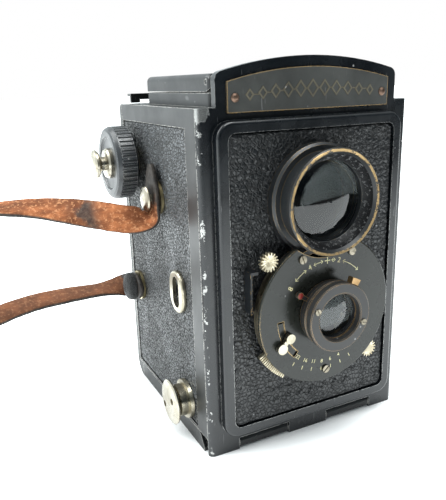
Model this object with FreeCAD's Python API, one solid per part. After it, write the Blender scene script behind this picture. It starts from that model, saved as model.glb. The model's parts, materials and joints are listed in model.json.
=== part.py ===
import FreeCAD, Part
import math
import os
from FreeCAD import Vector as V

# Twin lens reflex box camera for 6 x 6 roll film, a brilliant finder above a leaf shutter.
# Millimetres. +Z up, the lenses look along -Y, +X is the photographer's right hand.
# The origin is the middle of the tripod socket, in the plane that the camera stands on.

os.makedirs("parts", exist_ok=True)

# ---- driving dimensions -------------------------------------------------------------------
BODY_W = 76.0                 # across the side walls
BODY_D = 71.8                 # front plate face to back door face
BODY_H = 111.0                # floor to top plate
TRIPOD_DEPTH = 42.0           # tripod socket behind the front plate face
LENS_Z = 47.4                 # taking lens axis
FINDER_Z = 82.5               # finder lens axis
WALL = 1.6                    # side wall sheet
SHEET = 1.2                   # back door sheet
FLANGE_Z = 5.7                # height of the door's side flanges
DOOR_REAR = 69.4              # depth where the door's rear flanges begin
RUN = 0.05                    # radial running clearance of shafts
GAP = 0.2                     # gap round parts that pass each other

HALF = BODY_W / 2
FRONT = -TRIPOD_DEPTH
INNER = HALF - WALL


def dy(depth):
    """Y of a point that lies depth behind the face of the front plate."""
    return FRONT + depth


# ---- building blocks ----------------------------------------------------------------------
def box(x0, x1, d0, d1, z0, z1):
    return Part.makeBox(x1 - x0, d1 - d0, z1 - z0, V(x0, dy(d0), z0))


def rod_x(x0, x1, depth, z, r):
    return Part.makeCylinder(r, x1 - x0, V(x0, dy(depth), z), V(1, 0, 0))


def rod_y(x, d0, d1, z, r):
    return Part.makeCylinder(r, d1 - d0, V(x, dy(d0), z), V(0, 1, 0))


def turned_y(profile, x, z):
    """A turned part about an axis along Y: profile points are (radius, depth)."""
    points = [V(r, dy(d), 0) for r, d in profile]
    face = Part.Face(Part.makePolygon(points + points[:1]))
    solid = face.revolve(V(0, 0, 0), V(0, 1, 0), 360)
    solid.translate(V(x, 0, z))
    return solid


def turned_x(profile, depth, z):
    """A turned part about an axis along X: profile points are (x, radius)."""
    points = [V(x, r, 0) for x, r in profile]
    face = Part.Face(Part.makePolygon(points + points[:1]))
    solid = face.revolve(V(0, 0, 0), V(1, 0, 0), 360)
    solid.translate(V(0, dy(depth), z))
    return solid


def plate_yz(points, x0, x1):
    """A flat sheet in a plane across X: points are (depth, z)."""
    ring = [V(x0, dy(d), z) for d, z in points]
    return Part.Face(Part.makePolygon(ring + ring[:1])).extrude(V(x1 - x0, 0, 0))


def plate_xz(points, d0, d1):
    """A flat sheet in a plane across Y: points are (x, z)."""
    ring = [V(x, dy(d0), z) for x, z in points]
    return Part.Face(Part.makePolygon(ring + ring[:1])).extrude(V(0, d1 - d0, 0))


def edges_along(shape, axis, keep=lambda edge: True):
    """The straight edges of a shape that run along an axis."""
    found = []
    for edge in shape.Edges:
        if edge.Curve.TypeId != "Part::GeomLine" or not keep(edge):
            continue
        if abs(abs((edge.Vertexes[1].Point - edge.Vertexes[0].Point).normalize().dot(axis)) - 1) < 1e-6:
            found.append(edge)
    return found


def rounded(x0, x1, d0, d1, z0, z1, r, axis):
    """A box whose edges along one axis are rounded."""
    solid = box(x0, x1, d0, d1, z0, z1)
    return solid.makeFillet(r, edges_along(solid, axis))


def fuse(first, *others):
    return first.multiFuse(list(others)).removeSplitter() if others else first


def polar(r, degrees, x=0.0, z=LENS_Z):
    a = math.radians(degrees)
    return x + r * math.cos(a), z + r * math.sin(a)


def sector(r0, r1, a0, a1, d0, d1):
    """A piece of a flat ring about the taking lens, between two angles."""
    steps = max(2, int(abs(a1 - a0) / 6))
    angles = [a0 + (a1 - a0) * i / steps for i in range(steps + 1)]
    ring = [polar(r1, a) for a in angles] + [polar(r0, a) for a in reversed(angles)]
    return plate_xz(ring, d0, d1)


def arc_ring(r0, r1, a0, a1, d0, d1):
    """A true ring about the taking lens, open outside the angles a0 to a1."""
    ring = rod_y(0, d0, d1, LENS_Z, r1).cut(rod_y(0, d0 - 1, d1 + 1, LENS_Z, r0))
    gap = [polar(2 * r1, a1 + (360.0 + a0 - a1) * i / 6) for i in range(7)]
    return ring.cut(plate_xz([(0.0, LENS_Z)] + gap, d0 - 1, d1 + 1))


def save(name, *solids):
    shape = solids[0] if len(solids) == 1 else Part.makeCompound(list(solids))
    shape.exportStep("parts/" + name + ".step")
    print("%-24s solids %d  volume %9.1f  valid %s" % (name, len(shape.Solids), shape.Volume, shape.isValid()))


X, Y, Z = V(1, 0, 0), V(0, 1, 0), V(0, 0, 1)

# ---- front plate with its crest and bead --------------------------------------------------
PLATE_T = 1.6
CREST_HALF = 32.2
CREST_T = 2.4
CREST_SHOULDER = 120.3
CREST_TOP = 124.8
CREST_R = 2.6
BEAD_HALF = 33.4              # bead's foot
BEAD_Z0, BEAD_Z1 = 6.8, 107.3
BEAD_W = 3.4
BEAD_T = 3.2
FINDER_HOLE = 13.6
SHUTTER_HOLE = 9.4
HINGE_DEPTH, HINGE_Z = 2.0, 2.0
KNUCKLE_R = 1.9
KNUCKLE_X = (8.0, 27.0)       # the two long door knuckles
HINGE_PIN_R = 0.9


def arch_outline(half, z0, z_side, z_top, d):
    """Closed wire of a plate with upright sides and a bowed top."""
    a, b = V(-half, dy(d), z0), V(half, dy(d), z0)
    c, e = V(half, dy(d), z_side), V(-half, dy(d), z_side)
    bow = Part.Arc(c, V(0, dy(d), z_top), e).toShape()
    return Part.Wire([Part.makeLine(a, b), Part.makeLine(b, c), bow, Part.makeLine(e, a)])


def hinge_lug(x0, x1):
    """A lug of the front plate that carries the hinge pin, round where the door swings by."""
    top = box(x0, x1, HINGE_DEPTH - KNUCKLE_R, HINGE_DEPTH + KNUCKLE_R, HINGE_Z, HINGE_Z + 3.0)
    return fuse(rod_x(x0, x1, HINGE_DEPTH, HINGE_Z, KNUCKLE_R), top)


def front_plate():
    panel = box(-HALF, HALF, 0, PLATE_T + 2.0, 0, BODY_H)
    upright = edges_along(panel, Z, lambda e: e.BoundBox.YMax < dy(0.1))
    panel = panel.makeFillet(2.0, upright)
    panel = panel.cut(box(-HALF, HALF, PLATE_T, PLATE_T + 3, -1, BODY_H + 1))
    crest = Part.Face(arch_outline(CREST_HALF, BODY_H - 4, CREST_SHOULDER, CREST_TOP, 0)).extrude(V(0, CREST_T, 0))
    shoulders = edges_along(crest, Y, lambda e: e.BoundBox.ZMin > BODY_H)
    crest = crest.makeFillet(CREST_R, shoulders)
    outer = rounded(-BEAD_HALF, BEAD_HALF, -BEAD_T, 0.5, BEAD_Z0, BEAD_Z1, 5.0, Y)
    outer = outer.makeFillet(1.1, [e for e in outer.Edges if e.BoundBox.YMax < dy(-BEAD_T + 0.01)])
    inner = rounded(-BEAD_HALF + BEAD_W, BEAD_HALF - BEAD_W, -BEAD_T - 1, 1,
                    BEAD_Z0 + BEAD_W, BEAD_Z1 - BEAD_W, 2.4, Y)
    lugs = [hinge_lug(-KNUCKLE_X[0] + GAP, KNUCKLE_X[0] - GAP)]
    lugs += [hinge_lug(s * 31.0 - 3.8, s * 31.0 + 3.8) for s in (-1, 1)]
    solid = fuse(panel, crest, outer.cut(inner), *lugs)
    for side in (-1, 1):
        a, b = sorted((side * (KNUCKLE_X[0] - GAP), side * (KNUCKLE_X[1] + GAP)))
        solid = solid.cut(box(a, b, -0.5, 6, -1, HINGE_Z + KNUCKLE_R + GAP + 0.1))
    solid = solid.cut(box(-HALF, HALF, PLATE_T, CREST_T + 0.1, BODY_H - 5, BODY_H))
    solid = solid.cut(rod_y(0, -1, 3, FINDER_Z, FINDER_HOLE))
    solid = solid.cut(rod_y(0, -1, 3, LENS_Z, SHUTTER_HOLE))
    return solid.cut(rod_x(-36, 36, HINGE_DEPTH, HINGE_Z, HINGE_PIN_R))


save("front_plate", front_plate())

# The hinge pin is held tight in the lugs; the door's knuckles turn on it.
save("hinge_pin", rod_x(-36, 36, HINGE_DEPTH, HINGE_Z, HINGE_PIN_R))

# ---- name plate, left blank ---------------------------------------------------------------
NAME_HALF, NAME_Z0 = 28.7, 109.4
RIVET_X, RIVET_Z = 26.3, 113.5

name_plate = Part.Face(arch_outline(NAME_HALF, NAME_Z0, 118.0, 121.6, -0.7)).extrude(V(0, 0.7, 0))
rivet_seats = [rod_y(s * RIVET_X, -1, 1, RIVET_Z, 0.8) for s in (-1, 1)]
save("name_plate", name_plate.cut(Part.makeCompound(rivet_seats)))
RIVET = [(0, -1.5), (0.7, -1.35), (1.25, -0.95), (1.3, -0.7), (0.8, -0.7), (0.8, 0), (0, 0)]
save("name_plate_rivets", *[turned_y(RIVET, s * RIVET_X, RIVET_Z) for s in (-1, 1)])

# ---- leather ------------------------------------------------------------------------------
LEATHER_T = 2.7
LEATHER_HALF = BEAD_HALF - BEAD_W - 0.3
SHUTTER_R = 21.5
FLANGE_R = 17.2

front_leather = rounded(-LEATHER_HALF, LEATHER_HALF, -LEATHER_T, 0,
                        BEAD_Z0 + BEAD_W + 0.3, BEAD_Z1 - BEAD_W - 0.3, 2.1, Y)
front_leather = front_leather.cut(rod_y(0, -4, 1, FINDER_Z, FINDER_HOLE))
save("front_leather", front_leather.cut(rod_y(0, -4, 1, LENS_Z, SHUTTER_HOLE)))

# ---- side walls, each with its leather in a shallow recess --------------------------------
WALL_D0, WALL_D1 = PLATE_T, DOOR_REAR - GAP
WALL_Z0 = FLANGE_Z + GAP
RECESS = 0.7
RECESS_D0, RECESS_Z1 = 9.2, 105.2
SUPPLY_D, SUPPLY_Z = 18.0, 13.2          # film supply spool axis
TAKEUP_D, TAKEUP_Z = 57.7, 90.8          # take-up spool axis
STUD_PLACES = ((35.0, 80.8), (61.0, 41.7))   # the two strap studs of the left wall
EYELET_D, EYELET_Z = 20.2, 51.5
EYELET_SLOT = (5.2, 10.6)


def slot_yz(depth, z, wide, tall, x0, x1):
    """An upright slot with round ends through a side wall."""
    r = wide / 2
    middle = box(x0, x1, depth - r, depth + r, z - tall / 2 + r, z + tall / 2 - r)
    ends = [rod_x(x0, x1, depth, z + s * (tall / 2 - r), r) for s in (-1, 1)]
    return fuse(middle, *ends)


def side_parts(side):
    """Wall and leather of one side; only the left one (-1) has knobs, studs and the eyelet."""
    x_in, x_face, x_out = (side * v for v in (INNER, HALF - RECESS, HALF))
    a, b = sorted((x_in, x_out))
    wall = box(a, b, WALL_D0, WALL_D1, WALL_Z0, BODY_H)
    c, e = sorted((x_face, x_out + side))
    wall = wall.cut(box(c, e, RECESS_D0, WALL_D1 - 1.0, WALL_Z0 + 0.8, RECESS_Z1))
    g, h = sorted((x_face, x_out - side * 0.1))
    leather = box(g, h, RECESS_D0 + 0.2, WALL_D1 - 1.2, WALL_Z0 + 1.0, RECESS_Z1 - 0.2)
    if side < 0:
        cuts = [rod_x(-42, -30, SUPPLY_D, SUPPLY_Z, 5.0), rod_x(-42, -30, TAKEUP_D, TAKEUP_Z, 5.0),
                slot_yz(EYELET_D, EYELET_Z, EYELET_SLOT[0], EYELET_SLOT[1], -42, -INNER - 0.3)]
        cuts += [rod_x(-42, -30, d, z, 1.6) for d, z in STUD_PLACES]
    else:
        cuts = []
    for cut in cuts:
        wall = wall.cut(cut)
        leather = leather.cut(cut)
    return wall, leather


def spool_pin(depth, z):
    """A plain pin pressed into the right wall, which carries one end of a spool."""
    profile = [(30.2, 0), (30.2, 1.4), (31.0, 2.0), (HALF - RECESS, 2.0), (HALF - RECESS, 0)]
    return turned_x(profile, depth, z)


for side, label in ((-1, "left"), (1, "right")):
    wall, leather = side_parts(side)
    if side > 0:
        wall = fuse(wall, spool_pin(SUPPLY_D, SUPPLY_Z), spool_pin(TAKEUP_D, TAKEUP_Z))
    save(label + "_wall", wall)
    save(label + "_leather", leather)

# ---- nickel oval eyelet on the left wall --------------------------------------------------
eyelet = slot_yz(EYELET_D, EYELET_Z, 11.6, 14.6, -HALF - 1.2, -HALF + 0.1)
eyelet = eyelet.makeFillet(0.7, [e for e in eyelet.Edges if e.BoundBox.XMax < -HALF - 1.1])
save("side_eyelet", eyelet.cut(slot_yz(EYELET_D, EYELET_Z, EYELET_SLOT[0], EYELET_SLOT[1], -42, -30)))

# ---- strap studs and their washers --------------------------------------------------------
STUD_HEAD_X = -43.0


def strap_stud(depth, z):
    profile = [(STUD_HEAD_X - 0.6, 0), (STUD_HEAD_X - 0.4, 2.4), (STUD_HEAD_X, 4.0), (STUD_HEAD_X + 0.5, 4.4),
               (STUD_HEAD_X + 0.9, 4.2), (STUD_HEAD_X + 1.2, 1.6), (-INNER, 1.6), (-INNER, 0)]
    return turned_x(profile, depth, z)


def strap_washer(depth, z):
    ring = rod_x(-HALF - 0.9, -HALF + 0.1, depth, z, 5.7)
    return ring.cut(rod_x(-HALF - 2, -HALF + 2, depth, z, 1.6))


save("strap_studs", *[strap_stud(d, z) for d, z in STUD_PLACES])
save("strap_washers", *[strap_washer(d, z) for d, z in STUD_PLACES])

# ---- top plate and finder hood ------------------------------------------------------------
HOOD_HALF = 32.4
HOOD_D0, HOOD_D1 = CREST_T + 0.5, 55.0
HOOD_BASE_Z = 115.0
HOOD_TOP_Z = 120.3
HOOD_WALL = 1.5
WELL_HALF = 25.0                       # opening above the field lens
WELL_D0, WELL_D1 = 7.0, 49.0

top_plate = box(-INNER, INNER, PLATE_T, DOOR_REAR - GAP, BODY_H - 1.4, BODY_H)
top_plate = top_plate.cut(box(-WELL_HALF, WELL_HALF, WELL_D0, WELL_D1, 100, 120))

hood_base = rounded(-HOOD_HALF, HOOD_HALF, HOOD_D0, HOOD_D1, BODY_H, HOOD_BASE_Z, 1.5, Z)
hood_base = hood_base.cut(box(-HOOD_HALF + HOOD_WALL, HOOD_HALF - HOOD_WALL,
                              HOOD_D0 + HOOD_WALL, HOOD_D1 - HOOD_WALL, 100, 120))

# The lid turns on a cross pin just behind the crest; two wings fold flat inside it.
LID_Z0 = HOOD_BASE_Z + 0.3
LID_PIN_D, LID_PIN_Z = HOOD_D0 + 2.5, 118.0
LID_SHEET = 0.9
WING_T = 0.6
WING_REACH = 28.0
WING_AXIS_X = 30.2
WING_AXIS_Z = 118.4


def hood_lid():
    block = box(-HOOD_HALF, HOOD_HALF, HOOD_D0, HOOD_D1 + 0.9, LID_Z0, HOOD_TOP_Z)
    upper = [e for e in block.Edges if e.BoundBox.ZMin > HOOD_TOP_Z - 0.1]
    block = block.makeFillet(1.8, upper + edges_along(block, Z))
    hollow = box(-HOOD_HALF + LID_SHEET, HOOD_HALF - LID_SHEET, HOOD_D0 + LID_SHEET,
                 HOOD_D1 + 0.9 - LID_SHEET, LID_Z0 - 1, HOOD_TOP_Z - LID_SHEET)
    lid = block.cut(hollow).cut(rod_x(-HOOD_HALF - 1, HOOD_HALF + 1, LID_PIN_D, LID_PIN_Z, 0.8 + RUN))
    # The front lower edge is rounded about the pin, so that the lid swings clear of the base.
    corner = box(-HOOD_HALF - 1, HOOD_HALF + 1, HOOD_D0 - 1, LID_PIN_D, LID_Z0 - 1, LID_PIN_Z)
    lid = lid.cut(corner.cut(rod_x(-HOOD_HALF - 2, HOOD_HALF + 2, LID_PIN_D, LID_PIN_Z, 2.6)))
    for s in (-1, 1):
        a, b = sorted((s * (HOOD_HALF - LID_SHEET - 1.4), s * (HOOD_HALF - LID_SHEET)))
        lid = lid.cut(box(a, b, HOOD_D0 - 1, LID_PIN_D, LID_Z0 - 1, HOOD_TOP_Z - LID_SHEET))
    return lid


def hood_wing(side):
    """A side wing, cut at 45 degrees at its foot so that it clears the well as it swings."""
    near, far = LID_PIN_D + 1.5, HOOD_D1 - 2.0
    ring = [(WING_AXIS_X, near), (WING_AXIS_X, far), (WING_AXIS_X - WING_REACH, far - 8.0),
            (WING_AXIS_X - WING_REACH, near + WING_REACH)]
    points = [V(side * x, dy(d), WING_AXIS_Z - WING_T / 2) for x, d in ring]
    sheet = Part.Face(Part.makePolygon(points + points[:1])).extrude(V(0, 0, WING_T))
    curl = Part.makeCylinder(0.6, far - near, V(side * WING_AXIS_X, dy(near), WING_AXIS_Z), Y)
    return fuse(sheet, curl)


save("hood_lid", hood_lid())
save("hood_wing_left", hood_wing(-1))
save("hood_wing_right", hood_wing(1))


def lid_ear(side):
    a, b = sorted((side * (HOOD_HALF - LID_SHEET - 0.4), side * (HOOD_HALF - LID_SHEET - 1.2)))
    ear = box(a, b, LID_PIN_D - 1.3, LID_PIN_D + 1.3, BODY_H, LID_PIN_Z)
    ear = fuse(ear, rod_x(a, b, LID_PIN_D, LID_PIN_Z, 1.3))
    c, e = sorted((side * (HOOD_HALF - 2.2), side * (HOOD_HALF - 0.1)))
    return fuse(ear, rod_x(c, e, LID_PIN_D, LID_PIN_Z, 0.8))


save("hood_base", fuse(hood_base, *[lid_ear(s) for s in (-1, 1)]))

# ---- finder: barrel, front lens, mirror, field lens ---------------------------------------
RIM_R = 16.3
BARREL = [(FLANGE_R, -LEATHER_T), (FLANGE_R, -5.2), (16.5, -6.0), (14.9, -6.2), (14.9, -10.8),
          (15.5, -11.4), (RIM_R, -12.0), (RIM_R, -13.2), (15.9, -13.7), (15.2, -13.6), (14.6, -12.6),
          (12.5, -9.6), (12.5, -4.4), (11.0, -4.4), (11.0, 3.0), (13.4, 3.0), (13.4, -LEATHER_T)]
barrel = turned_y(BARREL, 0, FINDER_Z)
save("finder_barrel", barrel.cut(rod_y(0, -8.6, 1, LENS_Z, SHUTTER_R + GAP)))


def lens(r, d0, d1, bulge_front, bulge_back, z):
    """A lens between two spherical faces; bulges are the heights of its domes."""
    steps = 10
    front = [(r * i / steps, d0 - bulge_front * (1 - (i / steps) ** 2)) for i in range(steps + 1)]
    back = [(r * i / steps, d1 + bulge_back * (1 - (i / steps) ** 2)) for i in range(steps, -1, -1)]
    return turned_y(front + back, 0, z)


save("finder_front_lens", lens(12.4, -8.2, -5.2, 2.6, 0.6, FINDER_Z))

MIRROR_HALF = 22.0
MIRROR_FOOT = (9.0, 66.5)              # depth and height of the mirror's lower front edge
MIRROR_RUN = 34.0                      # run and rise, at 45 degrees


def sloped(half, lift, thick, run0, run1):
    """A sheet parallel to the mirror, lift above the partition's underside."""
    slant = math.sqrt(0.5)
    base = [(run0, lift), (run1, lift), (run1, lift + thick), (run0, lift + thick)]
    points = [(MIRROR_FOOT[0] + s - t * slant, MIRROR_FOOT[1] + s + t * slant) for s, t in base]
    return plate_yz(points, -half, half)


save("finder_partition", sloped(INNER, 0.0, 0.9, 0.0, MIRROR_RUN))
save("finder_mirror", sloped(MIRROR_HALF, 1.0, 1.6, 1.5, MIRROR_RUN - 1.5))

FIELD_Z0, FIELD_Z1 = 104.6, 108.0
field = box(-23.0, 23.0, 8.5, 47.5, FIELD_Z0, FIELD_Z1)
dome = Part.makeSphere(160.0, V(0, dy(28.0), FIELD_Z1 + 1.3 - 160.0))
dome = dome.common(box(-23.0, 23.0, 8.5, 47.5, FIELD_Z1 - 0.5, FIELD_Z1 + 2.0))
save("finder_field_lens", fuse(field, dome))
frame_out = box(-WELL_HALF, WELL_HALF, WELL_D0, WELL_D1, FIELD_Z0 - 0.8, BODY_H)
frame_in = box(-23.1, 23.1, 8.4, 47.6, FIELD_Z0 - 0.1, BODY_H + 1)
frame_hole = box(-21.5, 21.5, 10.0, 46.0, 100, 120)
lens_frame = frame_out.cut(frame_in).cut(frame_hole)

# ---- light box, film gate and rollers -----------------------------------------------------
GATE_HALF = 27.5
FILM_D = 66.5
GATE_T = 1.5
ROLLERS = {"film_roller_lower": (65.2, 10.0, 3.0), "film_roller_upper": (66.4, 78.0, 1.5)}
ROLLER_PIN_R = 0.8
CHEEK_X = 33.8
BOX_FRONT_HALF = 15.0
BOX_D0 = 6.0


def tapered(d0, d1, half0, half1):
    """A square funnel about the taking lens axis, as a solid."""
    rings = []
    for d, h in ((d0, half0), (d1, half1)):
        corners = [V(sx * h, dy(d), LENS_Z + sz * h) for sx, sz in ((-1, -1), (1, -1), (1, 1), (-1, 1))]
        rings.append(Part.makePolygon(corners + corners[:1]))
    return Part.makeLoft(rings, True, True)


funnel = tapered(BOX_D0, FILM_D - GATE_T, BOX_FRONT_HALF + 0.8, GATE_HALF + 1.4)
funnel = funnel.cut(tapered(BOX_D0 - 0.5, FILM_D - GATE_T + 0.5, BOX_FRONT_HALF, GATE_HALF + 0.6))
neck = box(-15.8, 15.8, PLATE_T, BOX_D0, LENS_Z - 15.8, LENS_Z + 15.8)
neck = neck.cut(box(-15.0, 15.0, 0, BOX_D0 + 1, LENS_Z - 15.0, LENS_Z + 15.0))
save("light_box", fuse(neck, funnel))

gate = box(-INNER, INNER, FILM_D - GATE_T, FILM_D, 13.4, 76.2)
gate = gate.cut(box(-GATE_HALF, GATE_HALF, 60, 70, LENS_Z - GATE_HALF, LENS_Z + GATE_HALF))
cheeks = [box(*sorted((s * CHEEK_X, s * INNER)), 62.5, 68.4, 6.6, 80.0) for s in (-1, 1)]
gate = fuse(gate, *cheeks)
for d, z, r in ROLLERS.values():
    gate = gate.cut(rod_x(-INNER, INNER, d, z, ROLLER_PIN_R + RUN))
save("film_gate", gate)

for name, (d, z, r) in ROLLERS.items():
    save(name, fuse(rod_x(-CHEEK_X + 0.4, CHEEK_X - 0.4, d, z, r),
                    rod_x(-CHEEK_X - 1.8, CHEEK_X + 1.8, d, z, ROLLER_PIN_R)))

# ---- take-up spool and winder -------------------------------------------------------------
SPOOL_END = 31.0
SPOOL_FLANGE_R, SPOOL_CORE_R = 11.5, 6.2      # flanges of a 620-size roll film spool
SHAFT_R = 2.5
KNOB_R = 13.0
KNOB_X0, KNOB_X1 = -48.2, -40.2
KEY = (0.6, 2.3)                       # half thickness and half width of the winding key


def take_up_spool():
    core = rod_x(-SPOOL_END, SPOOL_END, TAKEUP_D, TAKEUP_Z, SPOOL_CORE_R)
    ends = [rod_x(*sorted((s * SPOOL_END, s * (SPOOL_END - 1.0))), TAKEUP_D, TAKEUP_Z, SPOOL_FLANGE_R)
            for s in (-1, 1)]
    spool = fuse(core, *ends)
    key_slot = box(-SPOOL_END - 1, -SPOOL_END + 4, TAKEUP_D - KEY[0] - 0.3, TAKEUP_D + KEY[0] + 0.3,
                   TAKEUP_Z - KEY[1] - 0.4, TAKEUP_Z + KEY[1] + 0.4)
    film_slot = box(-28, 28, TAKEUP_D - 0.6, TAKEUP_D + 0.6, TAKEUP_Z - 9, TAKEUP_Z + 9)
    pin_hole = rod_x(SPOOL_END - 4, SPOOL_END + 1, TAKEUP_D, TAKEUP_Z, 2.0 + RUN)
    return spool.cut(key_slot).cut(film_slot.cut(rod_x(20, 40, TAKEUP_D, TAKEUP_Z, 4))).cut(pin_hole)


def winding_knob():
    profile = [(KNOB_X1, 11.6), (KNOB_X1 - 0.7, 12.4), (KNOB_X1 - 1.0, KNOB_R),
               (KNOB_X0 + 1.6, KNOB_R), (KNOB_X0 + 0.4, 12.3), (KNOB_X0, 11.4), (KNOB_X0, 9.6),
               (KNOB_X0 + 0.7, 9.0), (KNOB_X0 + 0.9, 6.0), (KNOB_X0 + 0.9, SHAFT_R + RUN),
               (KNOB_X1, SHAFT_R + RUN)]
    knob = turned_x(profile, TAKEUP_D, TAKEUP_Z)
    teeth = 46
    grooves = []
    for i in range(teeth):
        groove = rod_x(KNOB_X0 + 1.9, KNOB_X1 - 0.6, TAKEUP_D + KNOB_R + 0.12, TAKEUP_Z, 0.55)
        groove.rotate(V(0, dy(TAKEUP_D), TAKEUP_Z), X, 360.0 * i / teeth)
        grooves.append(groove)
    return knob.cut(Part.makeCompound(grooves))


save("take_up_spool", take_up_spool())
save("winding_knob", winding_knob())
collar = [(KNOB_X0 + 0.9, SHAFT_R + RUN), (KNOB_X0 + 0.9, 5.4), (KNOB_X0 - 0.2, 5.4), (KNOB_X0 - 0.9, 4.9),
          (KNOB_X0 - 1.1, 3.6), (KNOB_X0 - 1.1, SHAFT_R + RUN)]
save("knob_collar", turned_x(collar, TAKEUP_D, TAKEUP_Z))

STUD_TIP_X = -54.0
stud = turned_x([(STUD_TIP_X, 0), (STUD_TIP_X, 2.6), (STUD_TIP_X + 0.3, 4.2), (STUD_TIP_X + 0.9, 5.1),
                 (STUD_TIP_X + 1.6, 5.2), (STUD_TIP_X + 2.2, 4.6), (STUD_TIP_X + 2.6, 3.0),
                 (STUD_TIP_X + 3.2, SHAFT_R), (-32.0, SHAFT_R), (-32.0, 0)], TAKEUP_D, TAKEUP_Z)
key = box(-32.5, -28.4, TAKEUP_D - KEY[0], TAKEUP_D + KEY[0], TAKEUP_Z - KEY[1], TAKEUP_Z + KEY[1])
save("winder_stud", fuse(stud, key))
bush = [(-39.6, SHAFT_R + RUN), (-39.6, 5.0), (-INNER + 1.2, 5.0), (-INNER + 1.2, SHAFT_R + RUN)]
winder_bush = turned_x(bush, TAKEUP_D, TAKEUP_Z)

# ---- supply side: a bush and a pull-out knob that frees the spool -------------------------
SUPPLY_SHAFT_R = 2.0
bush = [(-42.4, SUPPLY_SHAFT_R + RUN), (-42.4, 4.9), (-42.0, 5.5), (-39.2, 5.5), (-39.2, 6.7), (-HALF, 6.9),
        (-HALF, 5.0), (-INNER + 1.2, 5.0), (-INNER + 1.2, SUPPLY_SHAFT_R + RUN)]
save("spool_bushes", winder_bush, turned_x(bush, SUPPLY_D, SUPPLY_Z))
head = [(-45.0, 0), (-44.9, 5.0), (-44.4, 7.2), (-44.0, 7.7), (-43.5, 7.6), (-43.2, 6.8),
        (-43.2, SUPPLY_SHAFT_R), (-31.0, SUPPLY_SHAFT_R), (-30.2, 1.4), (-30.2, 0)]
supply_knob = turned_x(head, SUPPLY_D, SUPPLY_Z)
for s in (-1, 1):
    supply_knob = supply_knob.cut(rod_x(-47, -44.3, SUPPLY_D + s * 3.4, SUPPLY_Z - s * 2.0, 1.1))
save("supply_knob", supply_knob)

# ---- tripod bush on its bridge ------------------------------------------------------------
bridge = box(-INNER, INNER, TRIPOD_DEPTH - 8.5, TRIPOD_DEPTH + 8.5, 1.6, 3.0)
ends = [box(*sorted((s * INNER, s * (INNER - 1.4))), TRIPOD_DEPTH - 8.5, TRIPOD_DEPTH + 8.5, 3.0, 12.0)
        for s in (-1, 1)]
bridge = fuse(bridge, *ends)
save("tripod_bridge", bridge.cut(Part.makeCylinder(6.4, 20, V(0, 0, -5))))
bush = fuse(Part.makeCylinder(6.4, 7.0), Part.makeCylinder(8.6, 1.6, V(0, 0, 3.0)))
save("tripod_bush", bush.cut(Part.makeCylinder(4.1, 9.0, V(0, 0, -1))))

# ---- shutter ------------------------------------------------------------------------------
HOUSING_BACK, HOUSING_FRONT = -LEATHER_T, -8.4
DISC_R = 24.4
DISC_FRONT = -9.6
SCREW_R = 20.4
SCREW_ANGLES = (63.0, 117.0, 270.0)
RING_R0 = SHUTTER_R + RUN
POINTER_ANGLE = 205.0
POINTER_TRAVEL = 16.0
LENS_TUBE_R = 8.9

housing = turned_y([(SHUTTER_R, HOUSING_BACK), (SHUTTER_R, HOUSING_FRONT), (19.6, HOUSING_FRONT),
                    (19.6, HOUSING_BACK - 0.8), (7.0, HOUSING_BACK - 0.8), (7.0, 1.0), (9.3, 1.0),
                    (9.3, HOUSING_BACK)], 0, LENS_Z)

finder_clear = rod_y(0, -12, -6, FINDER_Z, FLANGE_R + 0.3)
disc = rod_y(0, DISC_FRONT, HOUSING_FRONT, LENS_Z, DISC_R)
disc = disc.makeFillet(0.4, [e for e in disc.Edges if e.BoundBox.YMax < dy(DISC_FRONT + 0.01)])
disc = disc.cut(finder_clear).cut(rod_y(0, -12, -6, LENS_Z, LENS_TUBE_R + 0.02))
slot = sector(14.0, 20.2, POINTER_ANGLE - POINTER_TRAVEL - 7, POINTER_ANGLE + POINTER_TRAVEL + 7, -12, -6)
slot = slot.common(sector(15.9, 18.1, 160, 250, -12, -6))
disc = disc.cut(slot)
for angle in SCREW_ANGLES:
    sx, sz = polar(SCREW_R, angle)
    disc = disc.cut(rod_y(sx, -12, -6, sz, 1.0))
stop_x, stop_z = polar(13.4, -24.0)
save("shutter_disc", fuse(disc, rod_y(stop_x, -12.2, DISC_FRONT, stop_z, 0.9)))


def slotted_screw(x, z, head_r, shank_r, d_face, head_h, d_end, turn):
    """A cheese-head screw; its slot is turned to where the last hand left it."""
    screw = fuse(rod_y(x, d_face - head_h, d_face, z, head_r), rod_y(x, d_face, d_end, z, shank_r))
    slot = Part.makeBox(head_r * 2.4, 0.35, 0.4, V(x - head_r * 1.2, dy(d_face - head_h) - 0.01, z - 0.2))
    slot.rotate(V(x, 0, z), Y, turn)
    return screw.cut(slot)


screws = []
for angle, turn in zip(SCREW_ANGLES, (25, 70, 140)):
    sx, sz = polar(SCREW_R, angle)
    screws.append(slotted_screw(sx, sz, 1.3, 1.0, DISC_FRONT, 0.6, HOUSING_FRONT, turn))
save("disc_screws", *screws)

lens_tube = turned_y([(LENS_TUBE_R, HOUSING_FRONT + 1.6), (LENS_TUBE_R, -14.6), (7.4, -14.6),
                      (7.4, HOUSING_FRONT + 1.6)], 0, LENS_Z)

# Levers that ride on rings round the housing, one above the other.
# name: (front, back, angle of the head, ends of its open ring)
LEVER_LAYERS = {"release_lever": (-8.0, -7.0, 137.0, (128.0, 328.0)),
                "speed_lever": (-6.7, -5.7, -43.6, (160.0, 380.0))}
LEVER_RING_R = 23.4


def lever(name):
    d0, d1, angle, ends = LEVER_LAYERS[name]
    ring = arc_ring(RING_R0, LEVER_RING_R, ends[0], ends[1], d0, d1)
    arm = sector(22.4, 27.0, angle - 2.6, angle + 2.6, d0, d1)
    hx, hz = polar(27.6, angle)
    head = rod_y(hx, d0 - 0.2, d1, hz, 2.3)
    for i in range(14):
        cx, cz = polar(2.45, i * 360 / 14, hx, hz)
        head = head.cut(rod_y(cx, d0 - 1, d1 + 1, cz, 0.3))
    return fuse(ring, arm, head)


for name in LEVER_LAYERS:
    save(name, lever(name))

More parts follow.
